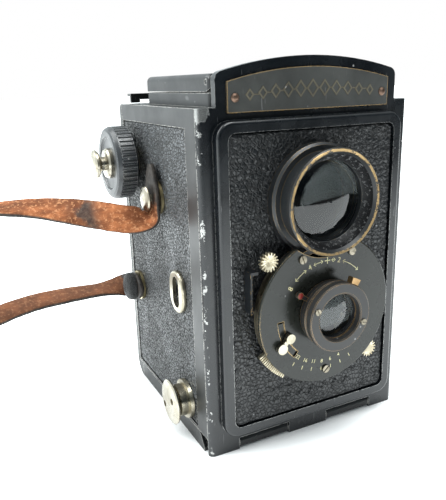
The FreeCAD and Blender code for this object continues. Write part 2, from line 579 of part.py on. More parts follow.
# Aperture ring with its serrated grip; the pointer turns with it and carries the stop plate.
APERTURE_D0, APERTURE_D1 = -5.4, -4.4
aperture_ring = arc_ring(RING_R0, LEVER_RING_R, 140.0, 380.0, APERTURE_D0, APERTURE_D1)
grip = sector(LEVER_RING_R - 0.8, 25.6, 212.0, 237.0, APERTURE_D0, APERTURE_D1)
for i in range(12):
    cx, cz = polar(25.5, 213.0 + i * 2.1)
    grip = grip.cut(rod_y(cx, -7, -3, cz, 0.32))
save("aperture_ring", fuse(aperture_ring, grip))
p0, p1 = polar(15.6, 203.0), polar(19.4, 207.4)
bar_half = 0.75
along = V(p1[0] - p0[0], 0, p1[1] - p0[1]).normalize()
across = V(-along.z, 0, along.x) * bar_half
bar_ring = [V(p0[0], 0, p0[1]) + across, V(p1[0], 0, p1[1]) + across,
            V(p1[0], 0, p1[1]) - across, V(p0[0], 0, p0[1]) - across]
pointer = plate_xz([(p.x, p.z) for p in bar_ring], DISC_FRONT - 1.3, DISC_FRONT - 0.3)
pointer = fuse(pointer, rod_y(p0[0], DISC_FRONT - 1.8, DISC_FRONT - 0.3, p0[1], 1.6),
               rod_y(p1[0], DISC_FRONT - 1.8, DISC_FRONT - 0.3, p1[1], 1.7))
px, pz = polar(17.0, POINTER_ANGLE)
stop_plate = rod_y(0, -4.4, -3.9, LENS_Z, 18.0).cut(rod_y(0, -5, -3, LENS_Z, 5.6))
save("aperture_pointer", fuse(pointer, rod_y(px, DISC_FRONT - 1.0, -4.1, pz, 0.7), stop_plate))

# Two half-moon shutter blades on pins; the straight edges lap over the opening.
BLADE_R = 7.6
BLADE_PIVOT = (3.4, -13.6)
BLADE_LAYER = {1: -5.5, -1: -6.3}


def shutter_blade(side):
    d0 = BLADE_LAYER[side]
    half = rod_y(0, d0, d0 + 0.4, LENS_Z, BLADE_R)
    edge = -0.6 if side > 0 else -30.0
    half = half.common(box(edge, edge + 30.6, d0 - 1, d0 + 1, 0, 100))
    px, pz = side * BLADE_PIVOT[0], LENS_Z + BLADE_PIVOT[1]
    tail = plate_xz([(px - 1.8, pz), (px + 1.8, pz), (side * 3.4 + 1.6, LENS_Z - 5.2),
                     (side * 3.4 - 1.6, LENS_Z - 5.2)], d0, d0 + 0.4)
    blade = fuse(half, tail, rod_y(px, d0, d0 + 0.4, pz, 1.8))
    return blade.cut(rod_y(px, d0 - 1, d0 + 1, pz, 0.9 + RUN))


save("shutter_blade_right", shutter_blade(1))
save("shutter_blade_left", shutter_blade(-1))

# The housing is a cup; a web across its mouth carries the lens tube and the blade pins.
pins = [rod_y(s * BLADE_PIVOT[0], HOUSING_FRONT, -4.6, LENS_Z + BLADE_PIVOT[1], 0.9) for s in (-1, 1)]
web = box(-5.0, 5.0, HOUSING_FRONT, HOUSING_FRONT + 0.8, LENS_Z - 20.2, LENS_Z)
web = web.cut(rod_y(0, -12, -6, LENS_Z, LENS_TUBE_R - 0.5))
save("shutter_housing", fuse(housing, lens_tube, web, *pins))

# Guard of the release lever, on the leather beside the disc.
guard = box(-25.6, -22.9, -6.6, -LEATHER_T, 50.0, 63.2)
guard = guard.cut(box(-25.0, -20.0, -8, -3.9, 51.0, 62.2))
save("release_guard", guard.cut(rod_y(0, -9, -2, LENS_Z, DISC_R + 0.4)))

# ---- focusing lens ring -------------------------------------------------------------------
FOCUS_R = 11.1
FOCUS_FRONT, FOCUS_BACK = -17.0, -10.0
index_x, index_z = polar(13.2, 146.0)
index = fuse(sector(9.6, 12.4, 142.5, 149.5, -11.4, -10.2), rod_y(index_x, -11.4, -10.2, index_z, 1.1))
focus_ring = turned_y([(LENS_TUBE_R + RUN, FOCUS_BACK), (10.3, FOCUS_BACK), (10.3, -11.8), (FOCUS_R - 0.2, -12.2),
                       (FOCUS_R - 0.2, -13.4), (10.5, -13.7), (10.5, -14.2), (FOCUS_R, -14.6),
                       (FOCUS_R, FOCUS_FRONT + 0.3), (FOCUS_R - 0.3, FOCUS_FRONT), (8.0, FOCUS_FRONT),
                       (7.6, FOCUS_FRONT + 0.3), (7.3, -15.0), (LENS_TUBE_R + RUN, -15.0)], 0, LENS_Z)
RING_SCREW_R = 9.3
RING_SCREW_ANGLES = (157.5, -19.5)
ring_screws = []
for angle, turn in zip(RING_SCREW_ANGLES, (60, 20)):
    sx, sz = polar(RING_SCREW_R, angle)
    focus_ring = focus_ring.cut(rod_y(sx, FOCUS_FRONT - 1, FOCUS_FRONT + 1.4, sz, 0.6))
    ring_screws.append(slotted_screw(sx, sz, 1.0, 0.6, FOCUS_FRONT, 0.4, FOCUS_FRONT + 1.4, turn))
save("focus_ring", fuse(focus_ring, index))
save("ring_screws", *ring_screws)
save("taking_front_lens", lens(7.25, -13.6, -11.6, 1.3, 0.2, LENS_Z))
save("taking_rear_lens", lens(6.9, -1.2, 0.4, 0.3, 0.9, LENS_Z))
tab = sector(FOCUS_R, 13.0, 57.0, 71.0, -17.1, -14.8)
save("focus_tab", tab.cut(rod_y(0, -20, -10, LENS_Z, FOCUS_R)))

# ---- back door ----------------------------------------------------------------------------
CORNER_R = 6.5
DOOR_FRONT = HINGE_DEPTH + KNUCKLE_R + 0.6


def door_block(inset):
    x = HALF - inset
    block = box(-x, x, DOOR_FRONT, BODY_D - inset, inset, BODY_H - inset)
    low = edges_along(block, X, lambda e: e.BoundBox.YMin > dy(60) and e.BoundBox.ZMax < 50)
    high = edges_along(block, X, lambda e: e.BoundBox.YMin > dy(60) and e.BoundBox.ZMin > 50)
    return block.makeFillet(CORNER_R - inset, low).makeFillet(2.6 - inset, high) if inset < 2 else block


def back_door():
    shell = door_block(0.0)
    hollow = door_block(SHEET).fuse(box(-HALF + SHEET, HALF - SHEET, 0, 40, SHEET, BODY_H - SHEET))
    shell = shell.cut(hollow)
    shell = shell.cut(box(-50, 50, -1, DOOR_REAR, FLANGE_Z, 130))
    slant = plate_yz([(DOOR_FRONT - 1, -1), (DOOR_FRONT, 1.3), (8.6, FLANGE_Z + 1), (DOOR_FRONT - 1, FLANGE_Z + 1)],
                     -50, 50)
    shell = shell.cut(slant.cut(box(-HALF + SHEET, HALF - SHEET, -5, 90, -2, SHEET + 0.01)))
    for side in (-1, 1):
        a, b = sorted((side * KNUCKLE_X[0], side * KNUCKLE_X[1]))
        knuckle = rod_x(a, b, HINGE_DEPTH, HINGE_Z, KNUCKLE_R)
        face = box(a, b, HINGE_DEPTH - KNUCKLE_R, HINGE_DEPTH, HINGE_Z - KNUCKLE_R, HINGE_Z + KNUCKLE_R)
        tongue = box(a, b, HINGE_DEPTH, DOOR_FRONT + 0.2, HINGE_Z - KNUCKLE_R, HINGE_Z - KNUCKLE_R + SHEET)
        knuckle = fuse(knuckle, face.common(rod_x(a, b, HINGE_DEPTH, HINGE_Z, KNUCKLE_R + 0.15)), tongue)
        shell = fuse(shell, knuckle.cut(rod_x(a - 1, b + 1, HINGE_DEPTH, HINGE_Z, HINGE_PIN_R + RUN)))
    shell = shell.cut(Part.makeCylinder(7.2, 6, V(0, 0, -2)))
    return shell.cut(rod_y(0, 65, 75, LENS_Z, 5.0))


# The door is a back wall with a rolled lower corner, and a floor soldered to its edge.
DOOR_SEAM = BODY_D - CORNER_R
door = back_door()
save("back_door", door.common(box(-50, 50, DOOR_SEAM, 80, -5, 130)))
save("door_floor", door.common(box(-50, 50, -5, DOOR_SEAM, -5, 130)))
back_leather = rounded(-34.0, 34.0, BODY_D, BODY_D + 0.6, 10.0, 104.0, 3.0, Y)
save("back_leather", back_leather.cut(rod_y(0, 60, 80, LENS_Z, 8.4)))

# Red window with a sliding cover on the back.
bezel = turned_y([(8.2, BODY_D), (8.2, BODY_D + 0.9), (5.4, BODY_D + 0.9), (5.4, BODY_D)], 0, LENS_Z)
save("red_window", rod_y(0, BODY_D - SHEET, BODY_D, LENS_Z, 5.0))
COVER_D = BODY_D + 1.1
cover = rod_y(0, COVER_D, COVER_D + 0.6, LENS_Z, 6.4)
cover = fuse(cover, rod_y(0, COVER_D, COVER_D + 1.6, LENS_Z + 3.0, 1.4))
save("window_cover", cover)
rails = [box(s * 7.4 - 0.8, s * 7.4 + 0.8, BODY_D + 0.9, COVER_D + 0.9, LENS_Z - 3, LENS_Z + 3) for s in (-1, 1)]
save("window_bezel", fuse(bezel, *rails))

# Sprung pressure plate inside the door.
PRESS_D = FILM_D + 0.6
save("pressure_plate", rounded(-31, 31, PRESS_D, PRESS_D + 0.9, LENS_Z - 29, LENS_Z + 27.5, 2.0, Y))
leaf_springs = []
for s in (-1, 1):
    strip = box(s * 16 - 3, s * 16 + 3, BODY_D - SHEET - 0.5, BODY_D - SHEET, LENS_Z - 20, LENS_Z + 20)
    bumps = [rod_x(s * 16 - 3, s * 16 + 3, BODY_D - SHEET - 0.9, LENS_Z + t * 14, 0.6) for t in (-1, 1)]
    leaf_springs.append(fuse(strip, *bumps))
save("pressure_springs", *leaf_springs)

# ---- door latch across the top ------------------------------------------------------------
LATCH_D, LATCH_Z = 66.0, 112.6
LATCH_HALF = 34.6
latch = box(-LATCH_HALF, LATCH_HALF, 67.6, 68.8, BODY_H + 0.25, 114.6)
shelf = box(-LATCH_HALF, LATCH_HALF, 67.6, 71.6, 113.6, 114.6)
for s in (-1, 1):
    latch = latch.cut(box(s * 29.0 - 2.0, s * 29.0 + 2.0, 60, 75, 110, BODY_H + 1.4))
latch = latch.cut(box(-24.0, 24.0, 60, 75, 110, BODY_H + 1.4))
knuckles = []
for s in (-1, 1):
    arm = box(s * 20 - 2.5, s * 20 + 2.5, LATCH_D, 67.8, LATCH_Z - 0.4, LATCH_Z + 0.6)
    knuckles += [fuse(arm, rod_x(s * 20 - 2.5, s * 20 + 2.5, LATCH_D, LATCH_Z, 1.2))]
latch = fuse(latch, shelf, *knuckles)
save("door_latch", latch.cut(rod_x(-40, 40, LATCH_D, LATCH_Z, 0.6 + RUN)))


def latch_bracket(side):
    x = side * 20
    ears = [box(x + t * 3.5 - 0.6, x + t * 3.5 + 0.6, LATCH_D - 1.2, LATCH_D + 1.0, BODY_H, LATCH_Z + 1.2)
            for t in (-1, 1)]
    foot = box(x - 4.1, x + 4.1, LATCH_D - 4.0, LATCH_D - 1.2, BODY_H, BODY_H + 0.8)
    return fuse(foot, rod_x(x - 4.1, x + 4.1, LATCH_D, LATCH_Z, 0.6), *ears)


save("top_plate", fuse(top_plate, lens_frame, *[latch_bracket(s) for s in (-1, 1)]))

# ---- leather carrying strap ---------------------------------------------------------------
STRAP_W = 10.0
TAB_X = (-HALF - 2.9, -HALF - 1.1)
TUBE_R = 2.4


def strap_tab(place, turn, above, below):
    """The slit end of the strap, buttoned over a stud."""
    d, z = place
    tab = slot_yz(d, z + (above - below) / 2, STRAP_W, above + below, TAB_X[0], TAB_X[1])
    tab = tab.cut(rod_x(-45, -30, d, z, 1.6 + 0.15))
    tab.rotate(V(0, dy(d), z), X, turn)
    return tab


save("strap_ends", strap_tab(STUD_PLACES[0], 0.0, 11.6, 13.0), strap_tab(STUD_PLACES[1], 84.0, 7.6, 13.0))

# The strap's route from the upper end out to the left, down to the table and back up to the
# lower end; the points were chosen by hand.
STRAP_ROUTE = [(-40.9, -7.5, 73.4), (-50.0, -7.5, 73.4), (-62.0, -0.5, 77.2), (-80.0, 9.5, 80.0),
               (-104.0, 18.0, 78.4), (-134.0, 26.0, 69.0), (-163.0, 31.0, 49.0), (-189.0, 33.0, 23.0),
               (-212.0, 21.0, 4.4), (-218.0, -6.0, 2.6), (-197.0, -29.0, 2.7), (-166.0, -28.0, 3.0),
               (-141.0, -12.0, 6.5), (-122.0, 7.0, 17.0), (-103.0, 21.0, 30.0), (-82.0, 27.2, 38.4),
               (-63.0, 28.6, 39.8), (-51.0, 27.65, 40.8), (-40.9, 27.65, 40.8)]


def strap_path(route):
    """Straight runs joined by tangent arcs, each arc as large as its two runs allow."""
    points = [V(*p) for p in route]
    edges, start, length = [], points[0], 0.0
    for before, corner, after in zip(points, points[1:], points[2:]):
        a, b = corner - before, after - corner
        turn = a.getAngle(b)
        reach = 0.45 * min(a.Length, b.Length)
        print("strap bend radius %.1f" % (reach / math.tan(turn / 2)))
        a.normalize()
        b.normalize()
        entry, leave = corner - a * reach, corner + b * reach
        middle = (b - a).normalize() * (reach * math.tan(turn / 4))
        edges.append(Part.LineSegment(start, entry).toShape())
        edges.append(Part.Arc(entry, corner + middle, leave).toShape())
        start = leave
    edges.append(Part.LineSegment(start, points[-1]).toShape())
    return Part.Wire(edges)


path = strap_path(STRAP_ROUTE)
circle = Part.Wire(Part.makeCircle(TUBE_R, V(*STRAP_ROUTE[0]), X))
strap = path.makePipeShell([circle], True, True)
print("strap length %.1f, volume %.1f of %.1f" % (path.Length, strap.Volume, path.Length * math.pi * TUBE_R ** 2))
save("strap", strap)
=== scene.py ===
import json
import math

import bpy
import bmesh
from mathutils import Matrix, Vector, noise

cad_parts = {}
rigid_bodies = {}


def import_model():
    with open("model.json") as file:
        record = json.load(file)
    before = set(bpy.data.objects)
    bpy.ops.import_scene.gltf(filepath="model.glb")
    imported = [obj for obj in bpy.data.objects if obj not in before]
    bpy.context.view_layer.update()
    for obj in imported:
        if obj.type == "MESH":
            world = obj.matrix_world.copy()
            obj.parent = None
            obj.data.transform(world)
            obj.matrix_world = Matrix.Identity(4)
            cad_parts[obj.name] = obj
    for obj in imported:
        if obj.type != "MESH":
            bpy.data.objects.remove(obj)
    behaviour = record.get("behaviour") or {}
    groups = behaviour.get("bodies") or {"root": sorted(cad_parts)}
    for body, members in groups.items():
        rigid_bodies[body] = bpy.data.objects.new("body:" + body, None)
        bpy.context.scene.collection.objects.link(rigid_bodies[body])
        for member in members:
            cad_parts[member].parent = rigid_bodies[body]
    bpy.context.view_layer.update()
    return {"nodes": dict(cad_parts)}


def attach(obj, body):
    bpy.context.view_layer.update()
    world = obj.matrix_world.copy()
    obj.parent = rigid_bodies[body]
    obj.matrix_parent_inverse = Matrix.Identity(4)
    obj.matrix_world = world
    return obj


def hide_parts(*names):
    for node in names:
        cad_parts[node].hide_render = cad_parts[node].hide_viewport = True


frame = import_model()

# Looks of a twin lens reflex box camera. Lengths are metres in the part's frame; MM turns
# millimetres into metres. Depth is measured back from the face of the front plate.
MM = 0.001
noise.seed_set(11)            # the leather's noise vectors otherwise start from the clock

FRONT_Y = -42.0               # face of the front plate
LENS_Z = 47.4                 # taking lens axis
FINDER_Z = 82.5               # finder axis
DISC_FACE = -9.6              # depth of the dial's face
LEVER_HEAD_R = 27.6           # the lever heads' distance from the lens axis
BODY = "camera_body"


def at(x, depth, z):
    """A point given in millimetres, with its depth behind the front plate's face."""
    return Vector((x, FRONT_Y + depth, z)) * MM


# ---- camera ---------------------------------------------------------------------------------
EYE = (-104.9, -192.9, 118.0)
LOOK, LOOK_UP = Vector((0.4220, 0.8634, -0.2763)), Vector((0.1490, 0.2346, 0.9606))


def set_camera():
    data = bpy.data.cameras.new("view_camera")
    data.sensor_width = 36.0
    data.lens = 42.2
    data.clip_start = 0.01
    eye = bpy.data.objects.new("view_camera", data)
    bpy.context.scene.collection.objects.link(eye)
    right = LOOK.cross(LOOK_UP).normalized()
    up = right.cross(LOOK).normalized()
    turn = Matrix((right, up, -LOOK.normalized())).transposed()
    eye.matrix_world = Matrix.Translation(Vector(EYE) * MM) @ turn.to_4x4()
    bpy.context.scene.camera = eye


set_camera()


# ---- pieces from lists of points ------------------------------------------------------------
def piece(name, points, faces, material, body=BODY, smooth=True):
    """A mesh object that rides on a body of the camera."""
    mesh = bpy.data.meshes.new(name)
    mesh.from_pydata([tuple(p) for p in points], [], faces)
    mesh.materials.append(material)
    mesh.shade_smooth() if smooth else mesh.shade_flat()
    mesh.update()
    thing = bpy.data.objects.new(name, mesh)
    bpy.context.scene.collection.objects.link(thing)
    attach(thing, body)
    return thing


def turned(name, profile, x, z, material, body, steps=96):
    """A surface turned about an axis along Y through (x, z); profile points are (radius, depth)."""
    points, faces = [], []
    for i in range(steps):
        a = 2 * math.pi * i / steps
        points += [at(x + r * math.cos(a), d, z + r * math.sin(a)) for r, d in profile]
    rows = len(profile)
    for i in range(steps):
        j = (i + 1) % steps
        for k in range(rows - 1):
            faces.append((i * rows + k, j * rows + k, j * rows + k + 1, i * rows + k + 1))
    return piece(name, points, faces, material, body)


# ---- shader effects shared by the finishes --------------------------------------------------
def joined(tree, kind, links=None, **settings):
    """Adds a node; links maps its input names or numbers to values or to other nodes' sockets."""
    node = tree.nodes.new("ShaderNode" + kind)
    for key, value in settings.items():
        setattr(node, key, value)
    for key, value in (links or {}).items():
        socket = node.inputs[key]
        if isinstance(value, bpy.types.NodeSocket):
            tree.links.new(value, socket)
        else:
            socket.default_value = value
    return node


def effect(name, inputs, outputs):
    """An empty node group with float inputs and outputs, and its two end nodes."""
    group = bpy.data.node_groups.new(name, "ShaderNodeTree")
    for label, value in inputs.items():
        given = group.interface.new_socket(label, in_out="INPUT", socket_type="NodeSocketFloat")
        given.default_value = value
    for label in outputs:
        group.interface.new_socket(label, in_out="OUTPUT", socket_type="NodeSocketFloat")
    return group, group.nodes.new("NodeGroupInput").outputs, group.nodes.new("NodeGroupOutput").inputs


def ranged(tree, value, low, high, to_low=0.0, to_high=1.0, smooth=True):
    kind = "SMOOTHSTEP" if smooth else "LINEAR"
    limits = {0: value, 1: low, 2: high, 3: to_low, 4: to_high}
    return joined(tree, "MapRange", limits, interpolation_type=kind).outputs[0]


def maths(tree, operation, a, b=0.0, clamp=False):
    return joined(tree, "Math", {0: a, 1: b}, operation=operation, use_clamp=clamp).outputs[0]


def own_place(tree):
    return joined(tree, "TexCoord").outputs["Object"]


def speckle(tree, place, scale, detail=2.0, rough=0.5, distortion=0.0):
    """Soft noise between 0 and 1."""
    return joined(tree, "TexNoise", {"Vector": place, "Scale": scale, "Detail": detail, "Roughness": rough,
                                     "Distortion": distortion}).outputs[0]


def edge_wear_effect():
    """Finish rubbed off along edges: a bevelled normal finds them and noise breaks them up."""
    tree, given, out = effect("edge wear", {"Reach": 0.0004, "Cover": 0.5, "Grain": 900.0},
                              ["Mask", "Near edge"])
    bevel = joined(tree, "Bevel", {"Radius": given["Reach"]}, samples=6)
    true = joined(tree, "NewGeometry").outputs["True Normal"]
    dot = joined(tree, "VectorMath", {0: bevel.outputs[0], 1: true}, operation="DOT_PRODUCT")
    near = ranged(tree, maths(tree, "SUBTRACT", 1.0, dot.outputs["Value"]), 0.004, 0.16)
    spots = speckle(tree, own_place(tree), given["Grain"], 5.0, 0.65)
    worn = maths(tree, "ADD", maths(tree, "MULTIPLY", near, 0.62), maths(tree, "SUBTRACT", spots, 0.5))
    limit = maths(tree, "SUBTRACT", 0.78, given["Cover"])
    tree.links.new(ranged(tree, maths(tree, "SUBTRACT", worn, limit), 0.0, 0.05), out["Mask"])
    tree.links.new(near, out["Near edge"])
    return tree


def handling_effect():
    """What years of use leave on a hard surface: cloudy patches, hair scratches and specks of dust."""
    tree, given, out = effect("handling marks", {"Cloud": 60.0, "Hair": 260.0, "Dust": 0.06},
                              ["Cloud", "Scratch", "Dust"])
    place = own_place(tree)
    cloud = speckle(tree, place, given["Cloud"], 6.0, 0.6, 0.4)
    tree.links.new(ranged(tree, cloud, 0.34, 0.68), out["Cloud"])
    hairs = []
    for turn, stretch in ((0.5, 0.05), (-0.9, 0.04)):
        laid = joined(tree, "Mapping", {"Vector": place, "Rotation": (turn, 0.3 * turn, turn),
                                        "Scale": (1.0, stretch, stretch * 1.6)}).outputs[0]
        line = speckle(tree, laid, maths(tree, "MULTIPLY", given["Hair"], 8.0), 1.0)
        hairs.append(ranged(tree, line, 0.715, 0.75))
    some = ranged(tree, speckle(tree, place, 90.0), 0.5, 0.62)
    both = maths(tree, "MAXIMUM", hairs[0], hairs[1])
    tree.links.new(maths(tree, "MULTIPLY", both, some), out["Scratch"])
    cells = joined(tree, "TexVoronoi", {"Vector": place, "Scale": 520.0})
    chance = joined(tree, "SeparateColor", {"Color": cells.outputs["Color"]}).outputs[0]
    picked = maths(tree, "LESS_THAN", chance, given["Dust"])
    dot = ranged(tree, cells.outputs["Distance"], 0.10, 0.22, 1.0, 0.0)
    tree.links.new(maths(tree, "MULTIPLY", picked, dot), out["Dust"])
    return tree


def pore_effect():
    """Fine pores between the pebbles of a pressed leather covering."""
    tree, given, out = effect("leather pores", {"Size": 1400.0}, ["Height", "Shade", "Rub"])
    place = own_place(tree)
    bent = joined(tree, "TexNoise", {"Vector": place, "Scale": 420.0, "Detail": 2.0}).outputs["Color"]
    bent = joined(tree, "VectorMath", {0: bent, "Scale": 0.0008}, operation="SCALE").outputs[0]
    moved = joined(tree, "VectorMath", {0: place, 1: bent}, operation="ADD").outputs[0]
    cells = joined(tree, "TexVoronoi", {"Vector": moved, "Scale": given["Size"]}, feature="DISTANCE_TO_EDGE")
    pore = ranged(tree, cells.outputs["Distance"], 0.02, 0.22)
    fine = maths(tree, "MULTIPLY", speckle(tree, place, 4200.0, 3.0), 0.25)
    tree.links.new(maths(tree, "ADD", maths(tree, "MULTIPLY", pore, 0.75), fine), out["Height"])
    tree.links.new(pore, out["Shade"])
    tree.links.new(ranged(tree, speckle(tree, place, 38.0, 4.0, 0.6), 0.42, 0.7), out["Rub"])
    return tree


EDGE_WEAR, HANDLING, PORES = edge_wear_effect(), handling_effect(), pore_effect()


def placed(tree, group, **values):
    """A shared effect placed in a finish with its own values; returns its outputs."""
    node = tree.nodes.new("ShaderNodeGroup")
    node.node_tree = group
    for label, value in values.items():
        node.inputs[label.replace("_", " ")].default_value = value
    return node.outputs


def blank(name):
    """A material with only its shader, ready for a finish."""
    material = bpy.data.materials.new(name)
    material.use_nodes = True
    tree = material.node_tree
    return material, tree, tree.nodes["Principled BSDF"].inputs


def blended(tree, share, first, second):
    return joined(tree, "Mix", {0: share, 6: first, 7: second}, data_type="RGBA").outputs[2]


def raised(tree, shader, height, distance, strength=1.0):
    bump = joined(tree, "Bump", {"Height": height, "Distance": distance, "Strength": strength})
    tree.links.new(bump.outputs[0], shader["Normal"])


def grey(v, warm=0.0):
    return (v * (1 + warm), v, v * (1 - warm), 1.0)


def toned(colour, gain, lift=0.0):
    """A paler or darker shade of a colour."""
    return tuple(min(1.0, c * gain + lift) for c in colour[:3]) + (1.0,)


def front_corner_chips(tree):
    """Flakes off the front plate's left edge, and one knock at its upper left corner."""
    place = joined(tree, "SeparateXYZ", {0: own_place(tree)}).outputs
    side = ranged(tree, place[0], -0.0338, -0.0372)
    front = ranged(tree, place[1], -0.0385, -0.0412)
    flakes = speckle(tree, own_place(tree), 520.0, 6.0, 0.7)
    patches = speckle(tree, own_place(tree), 75.0)
    both = maths(tree, "ADD", flakes, maths(tree, "MULTIPLY", patches, 0.5))
    edge = maths(tree, "MULTIPLY", side, front)
    chipped = ranged(tree, maths(tree, "MULTIPLY", both, edge), 0.84, 0.87)
    away = joined(tree, "VectorMath", {0: own_place(tree), 1: (-0.0375, -0.042, 0.1108)},
                  operation="DISTANCE")
    knock = maths(tree, "MULTIPLY", ranged(tree, away.outputs["Value"], 0.0075, 0.001), both)
    return maths(tree, "MAXIMUM", chipped, ranged(tree, knock, 0.50, 0.56))


def lacquer(name, colour, under, rough=0.34, cover=0.42, reach=0.0005, specular=0.42, chips=False,
            dust=0.035):
    """Stove lacquer on metal: dull clouds, hair scratches, dust, and the metal showing at edges."""
    material, tree, shader = blank(name)
    marks = placed(tree, HANDLING, Dust=dust)
    wear = placed(tree, EDGE_WEAR, Reach=reach, Cover=cover)
    worn = wear["Mask"]
    if chips:
        worn = maths(tree, "MAXIMUM", worn, front_corner_chips(tree))
    base = blended(tree, maths(tree, "MULTIPLY", marks["Cloud"], 0.55), colour, toned(colour, 2.2, 0.002))
    base = blended(tree, maths(tree, "MULTIPLY", marks["Scratch"], 0.35), base, grey(0.22))
    base = blended(tree, maths(tree, "MULTIPLY", marks["Dust"], 0.6), base, grey(0.45))
    base = blended(tree, worn, base, under)
    tree.links.new(base, shader["Base Color"])
    dull = maths(tree, "ADD", maths(tree, "MULTIPLY", marks["Cloud"], 0.12), rough)
    dull = maths(tree, "ADD", dull, maths(tree, "MULTIPLY", marks["Dust"], 0.3))
    dull = maths(tree, "ADD", dull, maths(tree, "MULTIPLY", wear["Near edge"], 0.06), True)
    tree.links.new(dull, shader["Roughness"])
    tree.links.new(maths(tree, "MULTIPLY", worn, 0.85), shader["Metallic"])
    peel = speckle(tree, own_place(tree), 700.0)
    height = maths(tree, "SUBTRACT", maths(tree, "MULTIPLY", peel, 0.35), maths(tree, "MULTIPLY", worn, 0.6))
    height = maths(tree, "SUBTRACT", height, maths(tree, "MULTIPLY", marks["Scratch"], 0.4))
    raised(tree, shader, height, 0.00005, 0.6)
    shader["Specular IOR Level"].default_value = specular
    return material


def pressed_leather(name, colour, pores, rough=0.5, specular=0.4, top=0.02, depth=0.00012):
    """Grained covering leather: creases painted near black as painted shade, paler pebbles of shade top,
    palest where rubbed, a little dust.
    """
    material, tree, shader = blank(name)
    skin = placed(tree, PORES, Size=pores)
    marks = placed(tree, HANDLING, Dust=0.05)
    base = blended(tree, maths(tree, "MULTIPLY", skin["Rub"], 0.5), colour, toned(colour, 2.4, 0.003))
    pebbles = maths(tree, "MULTIPLY", skin["Shade"], maths(tree, "ADD", skin["Rub"], 0.35), True)
    base = blended(tree, pebbles, base, grey(top, -0.06))
    # Painted shade: the creases between the pebbles are darkened to near black.
    base = blended(tree, ranged(tree, skin["Shade"], 0.0, 0.4, 0.9, 0.0), base, grey(0.0008))
    base = blended(tree, maths(tree, "MULTIPLY", marks["Dust"], 0.5), base, grey(0.4))
    tree.links.new(base, shader["Base Color"])
    dull = ranged(tree, skin["Rub"], 0.0, 1.0, rough + 0.08, rough - 0.1, False)
    crease = ranged(tree, skin["Shade"], 0.0, 0.6, 0.42, 0.0, False)
    tree.links.new(maths(tree, "ADD", dull, crease), shader["Roughness"])
    raised(tree, shader, skin["Height"], depth, 1.0)
    shader["Specular IOR Level"].default_value = specular
    return material


def plated(name, colour, tarnish, rough=0.2, cover=0.2, cloud=120.0):
    """Nickel or brass with tarnish clouds and fine polishing lines."""
    material, tree, shader = blank(name)
    marks = placed(tree, HANDLING, Cloud=cloud, Dust=0.01)
    wear = placed(tree, EDGE_WEAR, Reach=0.0003, Cover=cover)
    base = blended(tree, maths(tree, "MULTIPLY", marks["Cloud"], 0.7), colour, tarnish)
    base = blended(tree, maths(tree, "MULTIPLY", wear["Mask"], 0.5), base, toned(tarnish, 0.55))
    tree.links.new(base, shader["Base Color"])
    dull = maths(tree, "ADD", maths(tree, "MULTIPLY", marks["Cloud"], 0.2), rough)
    dull = maths(tree, "ADD", dull, maths(tree, "MULTIPLY", marks["Scratch"], 0.25))
    tree.links.new(dull, shader["Roughness"])
    raised(tree, shader, marks["Scratch"], 0.00002, 0.5)
    shader["Metallic"].default_value = 1.0
    return material


def worn_enamel(name, colour, brass, depth_low, depth_high, rough=0.3, cover=0.45, reach=0.0004,
                specular=0.45):
    """Black enamel over brass, rubbed through where hands and caps touch it: most towards the front."""
    material, tree, shader = blank(name)
    marks = placed(tree, HANDLING, Dust=0.03)
    wear = placed(tree, EDGE_WEAR, Reach=reach, Cover=cover, Grain=1100.0)
    y = joined(tree, "SeparateXYZ", {0: own_place(tree)}).outputs[1]
    rim = ranged(tree, y, (FRONT_Y + depth_high) * MM, (FRONT_Y + depth_low) * MM)
    islands = speckle(tree, own_place(tree), 620.0, 4.0, 0.7)
    spread = maths(tree, "MULTIPLY", maths(tree, "SUBTRACT", islands, 0.5), 1.3)
    rubbed = ranged(tree, maths(tree, "ADD", rim, spread), 0.62, 0.74)
    worn = maths(tree, "MAXIMUM", wear["Mask"], rubbed)
    tone = blended(tree, marks["Cloud"], brass, toned(brass, 0.55))
    base = blended(tree, maths(tree, "MULTIPLY", marks["Cloud"], 0.6), colour, toned(colour, 2.0, 0.006))
    base = blended(tree, maths(tree, "MULTIPLY", marks["Dust"], 0.6), base, grey(0.4))
    base = blended(tree, worn, base, tone)
    tree.links.new(base, shader["Base Color"])
    tree.links.new(maths(tree, "MULTIPLY", worn, 0.9), shader["Metallic"])
    dull = maths(tree, "ADD", maths(tree, "MULTIPLY", marks["Cloud"], 0.15), rough)
    tree.links.new(maths(tree, "ADD", dull, maths(tree, "MULTIPLY", worn, 0.05)), shader["Roughness"])
    bare = maths(tree, "MULTIPLY", worn, 0.6)
    height = maths(tree, "SUBTRACT", maths(tree, "MULTIPLY", islands, 0.2), bare)
    raised(tree, shader, height, 0.00005, 0.6)
    shader["Specular IOR Level"].default_value = specular
    return material


def lens_glass(name, tint, rough=0.02):
    """Tinted glass with a faint haze and specks of dust."""
    material, tree, shader = blank(name)
    marks = placed(tree, HANDLING, Cloud=180.0, Dust=0.03)
    base = blended(tree, maths(tree, "MULTIPLY", marks["Dust"], 0.4), tint, grey(0.6))
    tree.links.new(base, shader["Base Color"])
    haze = maths(tree, "ADD", maths(tree, "MULTIPLY", marks["Cloud"], 0.03), rough)
    tree.links.new(haze, shader["Roughness"])
    shader["Transmission Weight"].default_value = 1.0
    shader["IOR"].default_value = 1.52
    return material


def mirror_silver():
    """Plain silvered glass with faint grey clouds."""
    material, tree, shader = blank("mirror_silver")
    marks = placed(tree, HANDLING, Cloud=150.0)
    tree.links.new(blended(tree, marks["Cloud"], grey(0.80), grey(0.66)), shader["Base Color"])
    haze = maths(tree, "ADD", maths(tree, "MULTIPLY", marks["Cloud"], 0.03), 0.02)
    tree.links.new(haze, shader["Roughness"])
    shader["Metallic"].default_value = 1.0
    return material


